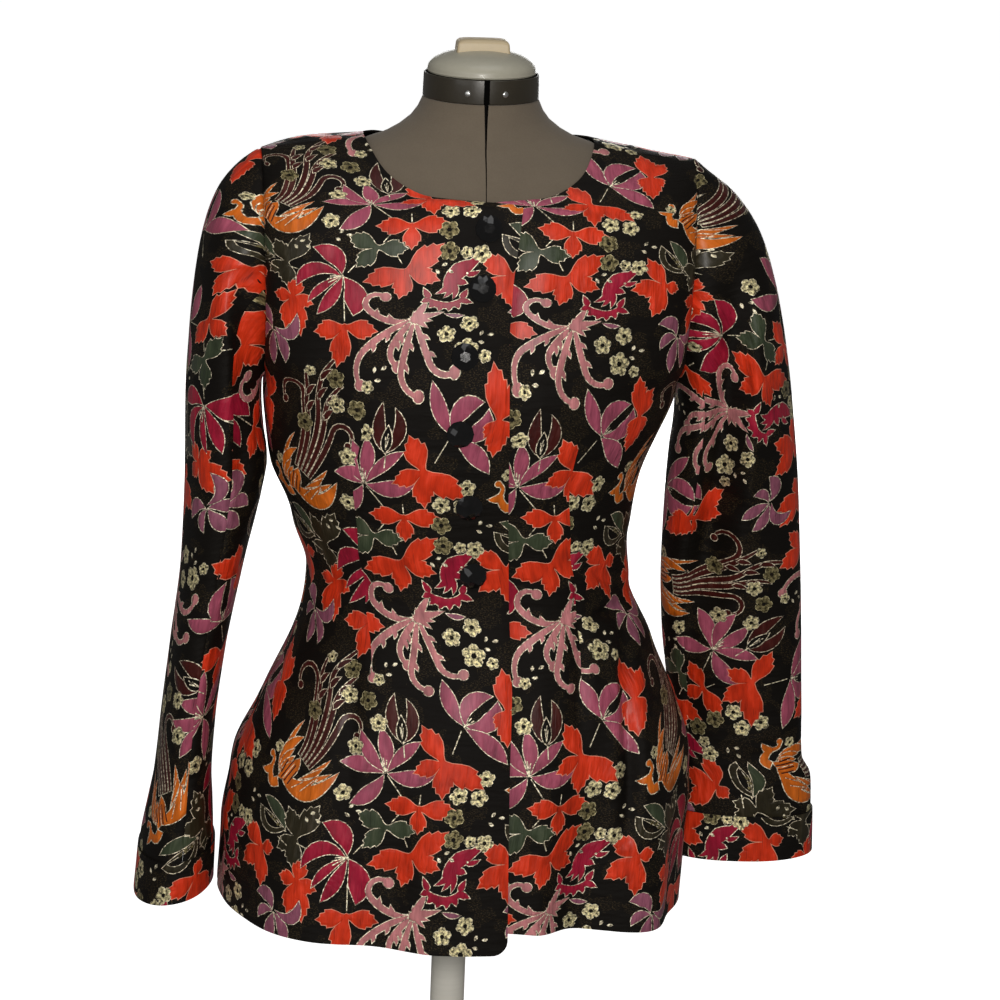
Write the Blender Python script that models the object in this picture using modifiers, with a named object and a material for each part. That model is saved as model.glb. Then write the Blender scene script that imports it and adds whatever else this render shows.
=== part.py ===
"""Fitted brocade jacket with padded shoulders and a flared skirt, buttoned on a limbless dress form.

Metres, +Z up, wearer facing -Y, so the wearer's left is +X. The origin is under the stand's base.
Cloth pieces are open grids through sections of the body or arm, thickened inwards.
"""

import math
from collections import namedtuple

import bmesh
import bpy
from mathutils import Matrix, Vector

# Cloth and seams
WALL = 0.0022
SEAM_GAP = 0.0004
SEAM_COLUMN = 0.012
LAP_CLEARANCE = 0.0013
LAP_EASE_AT_NECK = 0.0016

# Front closing: the wearer's right front laps over the left one
UNDERLAP = 0.018
LAP_RAMP = 0.028
LAP_EASE_FROM_Z = 0.825
LAP_EASE_RISE = 0.030
HEM_Z = 0.207
HEM_FLARE = 0.11
RIGHT_HEM_MIDDLE_Z = 0.2015
LEFT_HEM_MIDDLE_Z = 0.2230
NECK_FRONT_Z = 0.862

# Cuffs
CUFF_HEIGHT = 0.043
CUFF_WALL = 0.0014
CUFF_GAP = 0.0004

# Buttons
BUTTON_RADIUS = 0.0122
BUTTON_HEIGHT = 0.0066
BUTTON_FACETS = 12

# Dress form and stand
FORM_SEGMENTS = 32
NECK_RADIUS = 0.0511
BAND_Z = (0.9443, 0.9655)
CAP_Z = (0.9658, 0.9868)
CAP_RIM = 0.0478
GRIP_SIZE = (0.0475, 0.024, 0.0087)
POST_RADIUS = 0.016
BASE_RADIUS = 0.165
BASE_THICKNESS = 0.018
JOINT_GAP = 0.0003

# One body section, from its inner end (front or back middle, or the neckline) to its outer end
# (side or armhole). rows is the number of grid rows from this section up to the next one.
Section = namedtuple("Section", "in_x in_y in_z out_x out_y out_z roundness rows")

# Skirt, waist and bust are the same for both sides of the front, the hem's middle apart.
FRONT_LOWER = (
    Section(0, -0.166, 0.270, 0.2155, 0, 0.270, 2.30, 3),
    Section(0, -0.157, 0.335, 0.2115, 0, 0.335, 2.25, 2),
    Section(0, -0.145, 0.395, 0.1900, 0, 0.395, 2.15, 2),
    Section(0, -0.130, 0.450, 0.1655, 0, 0.450, 2.20, 3),
    Section(0, -0.116, 0.512, 0.1470, 0, 0.512, 2.25, 3),
    Section(0, -0.121, 0.570, 0.1555, 0, 0.570, 2.30, 3),
    Section(0, -0.131, 0.645, 0.1755, 0, 0.645, 2.30, 2),
    Section(0, -0.133, 0.690, 0.1860, 0, 0.690, 2.30, 2),
)
FRONT_UPPER = (
    Section(0, -0.1275, 0.735, 0.1872, -0.0420, 0.718, 2.25, 3),
    Section(0, -0.1125, 0.797, 0.1890, -0.0580, 0.7915, 2.15, 3),
    Section(0, -0.0935, NECK_FRONT_Z, 0.1908, -0.0500, 0.846, 2.05, 2),
    Section(0.055, -0.0800, 0.8695, 0.1914, -0.0375, 0.868, 2.0, 2),
    Section(0.0865, -0.0560, 0.8860, 0.1918, -0.0220, 0.8845, 2.0, 2),
    Section(0.0985, -0.0270, 0.9020, 0.1920, -0.0100, 0.8912, 2.0, 1),
    Section(0.1018, -0.0100, 0.9075, 0.1920, -0.0030, 0.8927, 2.0, 1),
    Section(0.1025, 0.0040, 0.9082, 0.1920, 0.0040, 0.8930, 2.0, 0),
)
BACK = (
    Section(0, 0.168, HEM_Z, 0.2155, 0, HEM_Z, 2.35, 2),
    Section(0, 0.164, 0.270, 0.2155, 0, 0.270, 2.30, 3),
    Section(0, 0.155, 0.335, 0.2115, 0, 0.335, 2.25, 2),
    Section(0, 0.141, 0.395, 0.1900, 0, 0.395, 2.15, 2),
    Section(0, 0.120, 0.450, 0.1655, 0, 0.450, 2.20, 3),
    Section(0, 0.101, 0.512, 0.1470, 0, 0.512, 2.25, 3),
    Section(0, 0.103, 0.570, 0.1555, 0, 0.570, 2.30, 3),
    Section(0, 0.114, 0.645, 0.1755, 0, 0.645, 2.35, 2),
    Section(0, 0.121, 0.690, 0.1860, 0, 0.690, 2.40, 2),
    Section(0, 0.1255, 0.735, 0.1872, 0.0440, 0.718, 2.40, 3),
    Section(0, 0.1220, 0.800, 0.1890, 0.0620, 0.7915, 2.30, 2),
    Section(0, 0.1070, 0.853, 0.1908, 0.0535, 0.846, 2.15, 1),
    Section(0, 0.0930, 0.880, 0.1914, 0.0410, 0.868, 2.05, 1),
    Section(0, 0.0830, 0.8935, 0.1918, 0.0260, 0.8845, 2.0, 2),
    Section(0.062, 0.0680, 0.8990, 0.1920, 0.0180, 0.8892, 2.0, 1),
    Section(0.0920, 0.0380, 0.9060, 0.1920, 0.0110, 0.8916, 2.0, 1),
    Section(0.1018, 0.0180, 0.9077, 0.1920, 0.0075, 0.8927, 2.0, 1),
    Section(0.1025, 0.0040, 0.9082, 0.1920, 0.0040, 0.8930, 2.0, 0),
)

# Soft flutes of the skirt: place is the share of the way from the middle to the side, reach its half
# width, push the outward move at the hem. They fade out by FLUTE_TOP_Z.
Flute = namedtuple("Flute", "place reach push")
FLUTE_TOP_Z = 0.500
FLUTES = {
    "front_right": (Flute(0.38, 0.26, -0.012), Flute(0.74, 0.20, 0.005)),
    "front_left": (Flute(0.48, 0.19, -0.017), Flute(0.76, 0.16, 0.016)),
    "back_right": (Flute(0.34, 0.20, 0.009), Flute(0.64, 0.18, -0.010)),
    "back_left": (Flute(0.30, 0.18, 0.010), Flute(0.60, 0.20, -0.011)),
}

# The worn jacket hangs a little askew: sideways move of the body at heights between hem and underarm.
Sway = namedtuple("Sway", "z move rows")
SWAY = (
    Sway(0.195, -0.0035, 1),
    Sway(0.266, -0.0010, 1),
    Sway(0.320, 0.0040, 1),
    Sway(0.380, 0.0100, 1),
    Sway(0.455, 0.0110, 1),
    Sway(0.512, 0.0035, 1),
    Sway(0.560, -0.0045, 1),
    Sway(0.615, -0.0095, 1),
    Sway(0.690, 0.0, 0),
)
# The lap's edge runs nearly straight beside that: its place across the front at heights.
LapPlace = namedtuple("LapPlace", "z x")
LAP_EDGE = (
    LapPlace(0.195, 0.0352),
    LapPlace(0.285, 0.0335),
    LapPlace(0.360, 0.0330),
    LapPlace(0.433, 0.0340),
    LapPlace(0.510, 0.0304),
    LapPlace(0.607, 0.0249),
    LapPlace(0.700, 0.0213),
    LapPlace(0.755, 0.0202),
    LapPlace(0.800, 0.0232),
    LapPlace(0.862, 0.0310),
)
# Rise of the padded shoulder line between neck and sleeve
PAD_RISE = {"right": 0.0045, "left": -0.0010}
PAD_PLACE = 0.6
PAD_FROM_Z = 0.855
PAD_FADE = 0.035

# One ring of a sleeve: its outer and inner points seen from the front, the depth's middle and half, and
# a turn of the flattened tube about its own line, in degrees. rows as above, from the armhole down.
Ring = namedtuple("Ring", "out_x out_z in_x in_z mid_y half_depth turn roundness rows")
SLEEVE_RINGS = {
    "left": (
        Ring(0.1934, 0.8928, 0.1874, 0.6885, 0.003, 0.0600, 0, 2.0, 1),
        Ring(0.2060, 0.8830, 0.1888, 0.6835, 0.003, 0.0640, 0, 2.0, 1),
        Ring(0.2320, 0.8630, 0.1895, 0.6770, 0.004, 0.0675, 0, 2.0, 1),
        Ring(0.2570, 0.8290, 0.1900, 0.6690, 0.005, 0.0695, 0, 2.0, 1),
        Ring(0.2730, 0.7850, 0.1900, 0.6590, 0.006, 0.0695, 0, 2.0, 1),
        Ring(0.2860, 0.7300, 0.1895, 0.6450, 0.008, 0.0670, 0, 2.0, 2),
        Ring(0.2975, 0.6700, 0.1875, 0.6230, 0.012, 0.0610, 0, 2.0, 2),
        Ring(0.3075, 0.6050, 0.1870, 0.5880, 0.018, 0.0550, 4, 2.0, 2),
        Ring(0.3165, 0.5200, 0.1880, 0.5150, 0.028, 0.0470, 9, 2.05, 2),
        Ring(0.3255, 0.4400, 0.1940, 0.4400, 0.042, 0.0405, 15, 2.1, 2),
        Ring(0.3330, 0.3700, 0.2050, 0.3700, 0.056, 0.0370, 19, 2.1, 2),
        Ring(0.3370, 0.3160, 0.2095, 0.3160, 0.060, 0.0360, 18, 2.15, 1),
        Ring(0.3465, 0.2960, 0.2110, 0.2950, 0.061, 0.0370, 16, 2.2, 1),
        Ring(0.3490, 0.2650, 0.2130, 0.2620, 0.062, 0.0380, 14, 2.2, 2),
        Ring(0.3510, 0.2200, 0.2140, 0.2130, 0.062, 0.0380, 12, 2.2, 0),
    ),
    "right": (
        Ring(0.1934, 0.8936, 0.1874, 0.6885, 0.003, 0.0600, 0, 2.0, 1),
        Ring(0.2075, 0.8845, 0.1888, 0.6830, 0.003, 0.0645, 0, 2.0, 1),
        Ring(0.2285, 0.8595, 0.1895, 0.6760, 0.003, 0.0690, 0, 2.0, 1),
        Ring(0.2410, 0.8250, 0.1897, 0.6680, 0.003, 0.0725, 0, 2.0, 1),
        Ring(0.2480, 0.7840, 0.1890, 0.6570, 0.003, 0.0750, 0, 2.0, 1),
        Ring(0.2530, 0.7300, 0.1868, 0.6420, 0.003, 0.0765, 0, 2.0, 2),
        Ring(0.2555, 0.6700, 0.1838, 0.6200, 0.003, 0.0760, 0, 2.0, 2),
        Ring(0.2550, 0.6050, 0.1862, 0.5850, 0.003, 0.0735, 0, 2.0, 2),
        Ring(0.2570, 0.5200, 0.2010, 0.5120, 0.004, 0.0690, 0, 2.05, 2),
        Ring(0.2655, 0.4380, 0.2155, 0.4360, 0.005, 0.0660, 0, 2.1, 2),
        Ring(0.2735, 0.3700, 0.2232, 0.3700, 0.005, 0.0640, 0, 2.1, 2),
        Ring(0.2790, 0.3120, 0.2255, 0.3150, 0.005, 0.0630, 0, 2.1, 1),
        Ring(0.2845, 0.2820, 0.2240, 0.2880, 0.004, 0.0630, 0, 2.1, 1),
        Ring(0.2900, 0.2520, 0.2230, 0.2600, 0.003, 0.0640, 0, 2.1, 2),
        Ring(0.2945, 0.2010, 0.2240, 0.2160, 0.002, 0.0650, 0, 2.1, 0),
    ),
}
# Angles round the sleeve, from its outer point towards the front, where its two pieces meet.
SLEEVE_FRONT_SEAM = {"left": 128.0, "right": 97.0}
SLEEVE_BACK_SEAM = -72.0

# Buttons on the lap: height and distance from the front's middle towards the wearer's left.
BUTTON_PLACES = (
    (0.8440, 0.0010),
    (0.7940, -0.0040),
    (0.7390, -0.0185),
    (0.6700, -0.0190),
    (0.6020, -0.0010),
    (0.5380, -0.0020),
)

# Dress form sections: height, half width, reach to the front, reach to the back, roundness
FormRing = namedtuple("FormRing", "z half_width front back roundness")
FORM_RINGS = (
    FormRing(0.2760, 0.1400, 0.0980, 0.1000, 2.2),
    FormRing(0.2860, 0.1540, 0.1100, 0.1120, 2.2),
    FormRing(0.3300, 0.1640, 0.1180, 0.1200, 2.2),
    FormRing(0.3800, 0.1640, 0.1180, 0.1180, 2.2),
    FormRing(0.4400, 0.1520, 0.1120, 0.1060, 2.2),
    FormRing(0.5120, 0.1360, 0.1020, 0.0900, 2.2),
    FormRing(0.5700, 0.1440, 0.1060, 0.0910, 2.2),
    FormRing(0.6300, 0.1570, 0.1160, 0.0990, 2.2),
    FormRing(0.6900, 0.1660, 0.1200, 0.1070, 2.2),
    FormRing(0.7450, 0.1680, 0.1130, 0.1120, 2.2),
    FormRing(0.8000, 0.1690, 0.1000, 0.1110, 2.2),
    FormRing(0.8400, 0.1660, 0.0870, 0.1000, 2.1),
    FormRing(0.8650, 0.1580, 0.0795, 0.0890, 2.0),
    FormRing(0.8800, 0.1440, 0.0740, 0.0810, 1.85),
    FormRing(0.8920, 0.1260, 0.0685, 0.0730, 1.7),
    FormRing(0.9005, 0.1120, 0.0625, 0.0680, 1.6),
    FormRing(0.9056, 0.1014, 0.0600, 0.0655, 1.6),
    FormRing(0.9110, 0.0850, 0.0590, 0.0630, 1.65),
    FormRing(0.9180, 0.0720, 0.0570, 0.0600, 1.8),
    FormRing(0.9260, 0.0617, 0.0545, 0.0570, 1.9),
    FormRing(0.9340, 0.0556, 0.0526, 0.0542, 2.0),
    FormRing(0.9440, 0.0511, 0.0511, 0.0511, 2.0),
)

# Base colour, roughness, metallic
FINISHES = {
    "brocade": ((0.030, 0.024, 0.018), 0.55, 0.0),
    "jet": ((0.006, 0.006, 0.007), 0.12, 0.0),
    "form_cloth": ((0.190, 0.165, 0.145), 0.90, 0.0),
    "band_plastic": ((0.045, 0.042, 0.036), 0.40, 0.0),
    "cap_plastic": ((0.330, 0.350, 0.330), 0.35, 0.0),
    "grip_plastic": ((0.760, 0.660, 0.470), 0.45, 0.0),
    "stand_paint": ((0.700, 0.690, 0.660), 0.45, 0.0),
}


def clear_scene():
    for obj in list(bpy.data.objects):
        bpy.data.objects.remove(obj, do_unlink=True)


def finish_material(name):
    colour, roughness, metallic = FINISHES[name]
    material = bpy.data.materials.get(name) or bpy.data.materials.new(name)
    material.use_nodes = True
    shader = material.node_tree.nodes["Principled BSDF"]
    shader.inputs["Base Color"].default_value = (*colour, 1.0)
    shader.inputs["Roughness"].default_value = roughness
    shader.inputs["Metallic"].default_value = metallic
    return material


def add_object(name, bm, finish, parts, smooth_angle=None):
    """A named object from a bmesh, in the parts collection."""
    mesh = bpy.data.meshes.new(name)
    bm.to_mesh(mesh)
    bm.free()
    mesh.materials.append(finish_material(finish))
    if smooth_angle is not None:
        mesh.shade_smooth()
        mesh.set_sharp_from_angle(angle=math.radians(smooth_angle))
    obj = bpy.data.objects.new(name, mesh)
    parts.objects.link(obj)
    return obj


# Smooth curves through a table's rows, without overshoot


def monotone_slopes(places, values):
    steps = [b - a for a, b in zip(places, places[1:])]
    rates = [(d - c) / h for c, d, h in zip(values, values[1:], steps)]
    slopes = [rates[0]]
    for before, after in zip(rates, rates[1:]):
        slopes.append(0.0 if before * after <= 0 else 2 * before * after / (before + after))
    return slopes + [rates[-1]]


class TableCurve:
    """Each column of a table as a curve over the table's grid rows."""

    def __init__(self, table):
        self.make = type(table[0])
        self.places = [0]
        for entry in table[:-1]:
            self.places.append(self.places[-1] + entry.rows)
        self.columns = [list(column) for column in zip(*table)]
        self.slopes = [monotone_slopes(self.places, column) for column in self.columns]
        self.last = self.places[-1]

    def at(self, row):
        k = max(i for i, place in enumerate(self.places[:-1]) if place <= row)
        start, end = self.places[k], self.places[k + 1]
        h = end - start
        u = (row - start) / h
        values = []
        for column, slope in zip(self.columns, self.slopes):
            rise = u * u * (3 - 2 * u)
            bend_in = u * (1 - u) * (1 - u) * h * slope[k]
            bend_out = u * u * (u - 1) * h * slope[k + 1]
            values.append(column[k] * (1 - rise) + column[k + 1] * rise + bend_in + bend_out)
        return self.make(*values)


def smooth_step(value):
    value = min(1.0, max(0.0, value))
    return value * value * (3 - 2 * value)


def bump(value):
    """1 at 0, falling smoothly to 0 at -1 and 1."""
    return 0.5 * (1 + math.cos(math.pi * value)) if abs(value) < 1 else 0.0


# Body of the jacket


def hem_section(middle_z):
    above = FRONT_LOWER[0]
    middle_y = above.in_y - HEM_FLARE * (above.in_z - middle_z)
    return Section(0, middle_y, middle_z, 0.2155, 0, HEM_Z, 2.35, 2)


def sway_at(z):
    """Sideways move of the body at a height."""
    if z >= SWAY[-1].z:
        return 0.0
    k = max(i for i, entry in enumerate(SWAY[:-1]) if entry.z <= max(z, SWAY[0].z))
    low, high = SWAY[k], SWAY[k + 1]
    return low.move + (high.move - low.move) * smooth_step((z - low.z) / (high.z - low.z))


def pad_rise(side, share, z):
    """Lift of the shoulder by its pad."""
    return PAD_RISE[side] * bump((share - PAD_PLACE) / PAD_PLACE) * smooth_step((z - PAD_FROM_Z) / PAD_FADE)


def flute_push(name, share, z):
    """Outward move of the skirt's flutes."""
    fade = smooth_step((FLUTE_TOP_Z - z) / (FLUTE_TOP_Z - HEM_Z))
    return fade * sum(f.push * bump((share - f.place) / f.reach) for f in FLUTES[name])


def lap_at(z):
    """How far the lap reaches past the front's middle."""
    z = min(max(z, LAP_EDGE[0].z), LAP_EDGE[-1].z)
    k = max(i for i, entry in enumerate(LAP_EDGE[:-1]) if entry.z <= z)
    low, high = LAP_EDGE[k], LAP_EDGE[k + 1]
    edge = low.x + (high.x - low.x) * (z - low.z) / (high.z - low.z)
    return edge - sway_at(z)


def body_point(section, share, push):
    """A point of a section, share 0 at its inner end and 1 at its outer end, moved outwards by push."""
    p = section.roundness
    width = section.out_x - section.in_x
    depth = section.in_y - section.out_y
    inside = max(0.0, 1 - abs(share) ** p) ** (1 / p)
    point = Vector((
        section.in_x + width * share,
        section.out_y + depth * inside,
        section.in_z + (section.out_z - section.in_z) * max(0.0, share),
    ))
    if push:
        across = math.copysign(abs(share) ** (p - 1), share) / width
        forward = inside ** (p - 1) / depth
        point += push * Vector((across, forward, 0)).normalized()
    return point


def body_surface(name, table, sections_overlap):
    """Surface (s, row) of one half of the body, +X side. sections_overlap is the share past the middle."""
    curve = TableCurve(table)
    seam_y = math.copysign(SEAM_GAP / 2, table[0].in_y)

    def surface(s, row):
        section = curve.at(row)
        start = math.asin(-min(0.9, sections_overlap(section)))
        share = math.sin(start + (math.pi / 2 - start) * s)
        x = section.in_x + (section.out_x - section.in_x) * share
        push = flute_push(name, share, section.in_z)
        if name == "front_left":
            lap = lap_at(section.in_z)
            ease = LAP_EASE_AT_NECK * smooth_step((section.in_z - LAP_EASE_FROM_Z) / LAP_EASE_RISE)
            push -= (WALL + LAP_CLEARANCE + ease) * (1 - smooth_step((x - lap - 0.004) / LAP_RAMP))
        point = body_point(section, share, push)
        point.y += seam_y
        point.z += pad_rise(name.split("_")[1], share, section.out_z)
        if table is BACK:
            point.x += SEAM_GAP / 2
        return point

    return surface, curve.last


def front_overlap(reach, fade):
    """Share of a section past the front's middle, gone where the neckline is fade away from it."""

    def share(section):
        below_neck = 1 - smooth_step(section.in_x / fade)
        return below_neck * reach(section.in_z) / section.out_x

    return share


def cloth_panel(name, surface, columns, rows, wall, mirrored, flipped, parts, sway=None):
    """A cloth piece: a grid laid on surface(s, row), thickened inwards."""
    bm = bmesh.new()
    bmesh.ops.create_grid(bm, x_segments=columns + 2, y_segments=rows, size=1.0)
    shares = [k / columns for k in range(columns + 1)]
    shares = [0, SEAM_COLUMN, *shares[1:-1], 1 - SEAM_COLUMN, 1]
    for vertex in bm.verts:
        column = round(0.5 * (vertex.co.x + 1) * (columns + 2))
        row = round(0.5 * (vertex.co.y + 1) * rows)
        vertex.co = surface(shares[column], row)
        if mirrored:
            vertex.co.x = -vertex.co.x
        if sway:
            vertex.co.x += sway(vertex.co.z)
    if mirrored != flipped:
        bmesh.ops.reverse_faces(bm, faces=bm.faces)
    obj = add_object(name, bm, "brocade", parts, smooth_angle=50)
    solid = obj.modifiers.new("cloth", "SOLIDIFY")
    solid.thickness = wall
    solid.offset = -1
    return obj


def make_body(parts):
    right_front = (hem_section(RIGHT_HEM_MIDDLE_Z),) + FRONT_LOWER + FRONT_UPPER
    left_front = (hem_section(LEFT_HEM_MIDDLE_Z),) + FRONT_LOWER + FRONT_UPPER
    surface, rows = body_surface("front_right", right_front, front_overlap(lap_at, 0.055))
    cloth_panel("front_right", surface, 12, rows, WALL, True, False, parts, sway_at)
    surface, rows = body_surface("front_left", left_front, front_overlap(lambda z: UNDERLAP, 0.012))
    cloth_panel("front_left", surface, 12, rows, WALL, False, False, parts, sway_at)
    for side in ("right", "left"):
        surface, rows = body_surface("back_" + side, BACK, lambda section: 0.0)
        cloth_panel("back_" + side, surface, 10, rows, WALL, side == "right", True, parts, sway_at)


# Sleeves and cuffs


def ring_point(ring, angle, push=0.0):
    """A point of a sleeve ring, angle 0 at its outer point, 90 degrees at its front, pushed outwards."""
    outer = Vector((ring.out_x, 0, ring.out_z))
    inner = Vector((ring.in_x, 0, ring.in_z))
    centre = (outer + inner) / 2 + Vector((0, ring.mid_y, 0))
    half = (outer - inner) / 2
    along = half.normalized()
    c, s = math.cos(angle), math.sin(angle)
    power = 2 / ring.roundness
    u = (half.length + push) * math.copysign(abs(c) ** power, c)
    v = (ring.half_depth + push) * math.copysign(abs(s) ** power, s)
    turn = math.radians(ring.turn)
    u, v = u * math.cos(turn) - v * math.sin(turn), u * math.sin(turn) + v * math.cos(turn)
    return centre + along * u + Vector((0, -v, 0))


def sleeve_surface(side, first_angle, last_angle, push=0.0, first_row=0.0):
    curve = TableCurve(SLEEVE_RINGS[side])

    def surface(s, row):
        angle = math.radians(first_angle + (last_angle - first_angle) * s)
        return ring_point(curve.at(first_row + row), angle, push)

    return surface, curve.last


def cuff_first_row(side):
    """Grid row of the sleeve where its cuff begins, at the cuff's height above the sleeve's end."""
    curve = TableCurve(SLEEVE_RINGS[side])
    end = curve.at(curve.last)
    row = curve.last
    while curve.at(row).out_z - end.out_z < CUFF_HEIGHT:
        row -= 0.01
    return row


def make_sleeve(side, parts):
    mirrored = side == "right"
    front_seam = SLEEVE_FRONT_SEAM[side]
    parting = 0.5
    pieces = (
        ("sleeve_upper_", SLEEVE_BACK_SEAM + parting, front_seam - parting, 14),
        ("sleeve_under_", front_seam + parting, SLEEVE_BACK_SEAM + 360 - parting, 10),
    )
    for stem, first, last, columns in pieces:
        surface, rows = sleeve_surface(side, first, last)
        cloth_panel(stem + side, surface, columns, rows, WALL, mirrored, False, parts)
    start = cuff_first_row(side)
    vent = 1.5
    outwards = CUFF_WALL + CUFF_GAP
    surface, rows = sleeve_surface(
        side, SLEEVE_BACK_SEAM + vent, SLEEVE_BACK_SEAM + 360 - vent, outwards, start
    )
    height = rows - start
    steps = 3

    def cuff(s, row):
        return surface(s, row * height / steps)

    cloth_panel("cuff_" + side, cuff, 28, steps, CUFF_WALL, mirrored, False, parts)


# Buttons


def make_button(index, place, parts):
    """A faceted dome on the lap, standing square to the cloth."""
    height, offset = place
    table = (hem_section(RIGHT_HEM_MIDDLE_Z),) + FRONT_LOWER + FRONT_UPPER
    curve = TableCurve(table)
    row = next(r for r in range(curve.last * 20) if curve.at(r / 20).in_z >= height) / 20
    section = curve.at(row)
    above = curve.at(row + 0.5)
    share = -offset / section.out_x
    seat = body_point(section, share, 0)
    upward = body_point(above, share, 0) - seat
    sideways = body_point(section, share + 0.02, 0) - seat
    for vector in (seat, upward, sideways):
        vector.x = -vector.x
    normal = upward.cross(sideways).normalized()
    if normal.y > 0:
        normal.negate()
    r, h = BUTTON_RADIUS, BUTTON_HEIGHT
    profile = ((0, h), (0.42 * r, 0.93 * h), (0.80 * r, 0.62 * h), (r, 0.28 * h), (0.93 * r, 0), (0, 0))
    bm = bmesh.new()
    chain = [bm.verts.new((x, 0, z)) for x, z in profile]
    for start, end in zip(chain, chain[1:]):
        bm.edges.new((start, end))
    obj = add_object(f"button_{index}", bm, "jet", parts)
    turn = obj.modifiers.new("turned", "SCREW")
    turn.steps = BUTTON_FACETS
    turn.render_steps = BUTTON_FACETS
    turn.use_merge_vertices = True
    turn.merge_threshold = 0.00005
    turn.use_smooth_shade = False
    seat.x += sway_at(seat.z)
    seat.y -= SEAM_GAP / 2
    obj.rotation_euler = normal.to_track_quat("Z", "Y").to_euler()
    obj.location = seat + normal * SEAM_GAP


# Dress form and stand


def make_form(parts):
    bm = bmesh.new()
    loops = []
    for ring in FORM_RINGS:
        loop = []
        for k in range(FORM_SEGMENTS):
            angle = 2 * math.pi * k / FORM_SEGMENTS
            c, s = math.cos(angle), math.sin(angle)
            power = 2 / ring.roundness
            depth = ring.back if s > 0 else ring.front
            x = ring.half_width * math.copysign(abs(c) ** power, c)
            y = depth * math.copysign(abs(s) ** power, s)
            loop.append(bm.verts.new((x, y, ring.z)))
        loops.append(loop)
    for lower, upper in zip(loops, loops[1:]):
        for k in range(FORM_SEGMENTS):
            after = (k + 1) % FORM_SEGMENTS
            bm.faces.new((lower[k], lower[after], upper[after], upper[k]))
    bm.faces.new(list(reversed(loops[0])))
    bm.faces.new(loops[-1])
    add_object("form_body", bm, "form_cloth", parts, smooth_angle=50)


def turned(name, profile, finish, steps, parts):
    """A solid of revolution about Z, from a profile that runs from top middle to bottom middle."""
    bm = bmesh.new()
    chain = [bm.verts.new((x, 0, z)) for x, z in profile]
    for start, end in zip(chain, chain[1:]):
        bm.edges.new((start, end))
    obj = add_object(name, bm, finish, parts)
    screw = obj.modifiers.new("turned", "SCREW")
    screw.steps = steps
    screw.render_steps = steps
    screw.use_merge_vertices = True
    screw.merge_threshold = 0.00005
    return obj


def make_neck(parts):
    low, high = BAND_Z
    r = NECK_RADIUS
    turned("neck_band", ((0, high), (r, high), (r + 0.0006, low), (0, low)), "band_plastic", 32, parts)
    low, high = CAP_Z
    rise = high - low
    rim = CAP_RIM
    profile = [(0, high)]
    for k in range(1, 7):
        lean = math.radians(15 * k)
        profile.append((rim * math.sin(lean), low + 0.003 + (rise - 0.003) * math.cos(lean)))
    profile += [(rim, low), (0, low)]
    turned("neck_cap", profile, "cap_plastic", 32, parts)
    bm = bmesh.new()
    bmesh.ops.create_cube(bm, size=1.0, matrix=Matrix.Diagonal((*GRIP_SIZE, 1.0)))
    obj = add_object("cap_grip", bm, "grip_plastic", parts)
    rounding = obj.modifiers.new("rounded", "BEVEL")
    rounding.width = 0.0035
    rounding.segments = 3
    obj.location = (0, 0, high + JOINT_GAP + GRIP_SIZE[2] / 2)


def make_stand(parts):
    edge = 0.004
    base = (
        (0, BASE_THICKNESS),
        (BASE_RADIUS - 3 * edge, BASE_THICKNESS),
        (BASE_RADIUS - edge, BASE_THICKNESS - edge),
        (BASE_RADIUS, BASE_THICKNESS - 2.5 * edge),
        (BASE_RADIUS, 0),
        (0, 0),
    )
    turned("stand_base", base, "stand_paint", 40, parts)
    top = FORM_RINGS[0].z - JOINT_GAP
    foot = BASE_THICKNESS + JOINT_GAP
    post = ((0, top), (POST_RADIUS, top), (POST_RADIUS, foot), (0, foot))
    turned("stand_post", post, "stand_paint", 24, parts)


def main():
    clear_scene()
    parts = bpy.data.collections.new("brocade_jacket_on_dress_form")
    bpy.context.scene.collection.children.link(parts)
    make_body(parts)
    make_sleeve("right", parts)
    make_sleeve("left", parts)
    for index, place in enumerate(BUTTON_PLACES, start=1):
        make_button(index, place, parts)
    make_form(parts)
    make_neck(parts)
    make_stand(parts)


main()
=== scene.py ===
"""Fitted brocade jacket with padded shoulders, buttoned on a limbless dress form on a plain stand.

Metres, +Z up, the wearer faces -Y, so the wearer's left is +X. Each cloth piece is cut flat, with the
figures of its weave drawn into the cut in millimetres, and then laid on the worn form with its creases.
"""

import math

import bmesh
import bpy
import numpy as np
from mathutils import Matrix, Vector
from mathutils.geometry import delaunay_2d_cdt
from mathutils.kdtree import KDTree


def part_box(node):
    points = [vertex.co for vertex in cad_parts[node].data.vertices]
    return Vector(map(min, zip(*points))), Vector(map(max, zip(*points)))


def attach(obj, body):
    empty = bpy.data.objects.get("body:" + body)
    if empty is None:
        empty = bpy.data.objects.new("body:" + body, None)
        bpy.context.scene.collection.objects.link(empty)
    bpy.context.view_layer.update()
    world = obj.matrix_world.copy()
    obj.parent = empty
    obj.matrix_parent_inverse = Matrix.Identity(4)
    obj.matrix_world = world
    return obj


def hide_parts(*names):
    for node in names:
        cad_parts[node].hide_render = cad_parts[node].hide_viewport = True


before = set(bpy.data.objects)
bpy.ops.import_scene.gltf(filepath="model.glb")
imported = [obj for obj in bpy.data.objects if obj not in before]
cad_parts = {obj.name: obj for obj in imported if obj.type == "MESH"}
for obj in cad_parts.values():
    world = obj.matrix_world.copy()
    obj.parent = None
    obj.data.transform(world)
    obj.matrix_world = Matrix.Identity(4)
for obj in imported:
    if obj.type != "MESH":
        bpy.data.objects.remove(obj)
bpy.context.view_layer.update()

# Sizes of the worn form, as the solids have them

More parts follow.
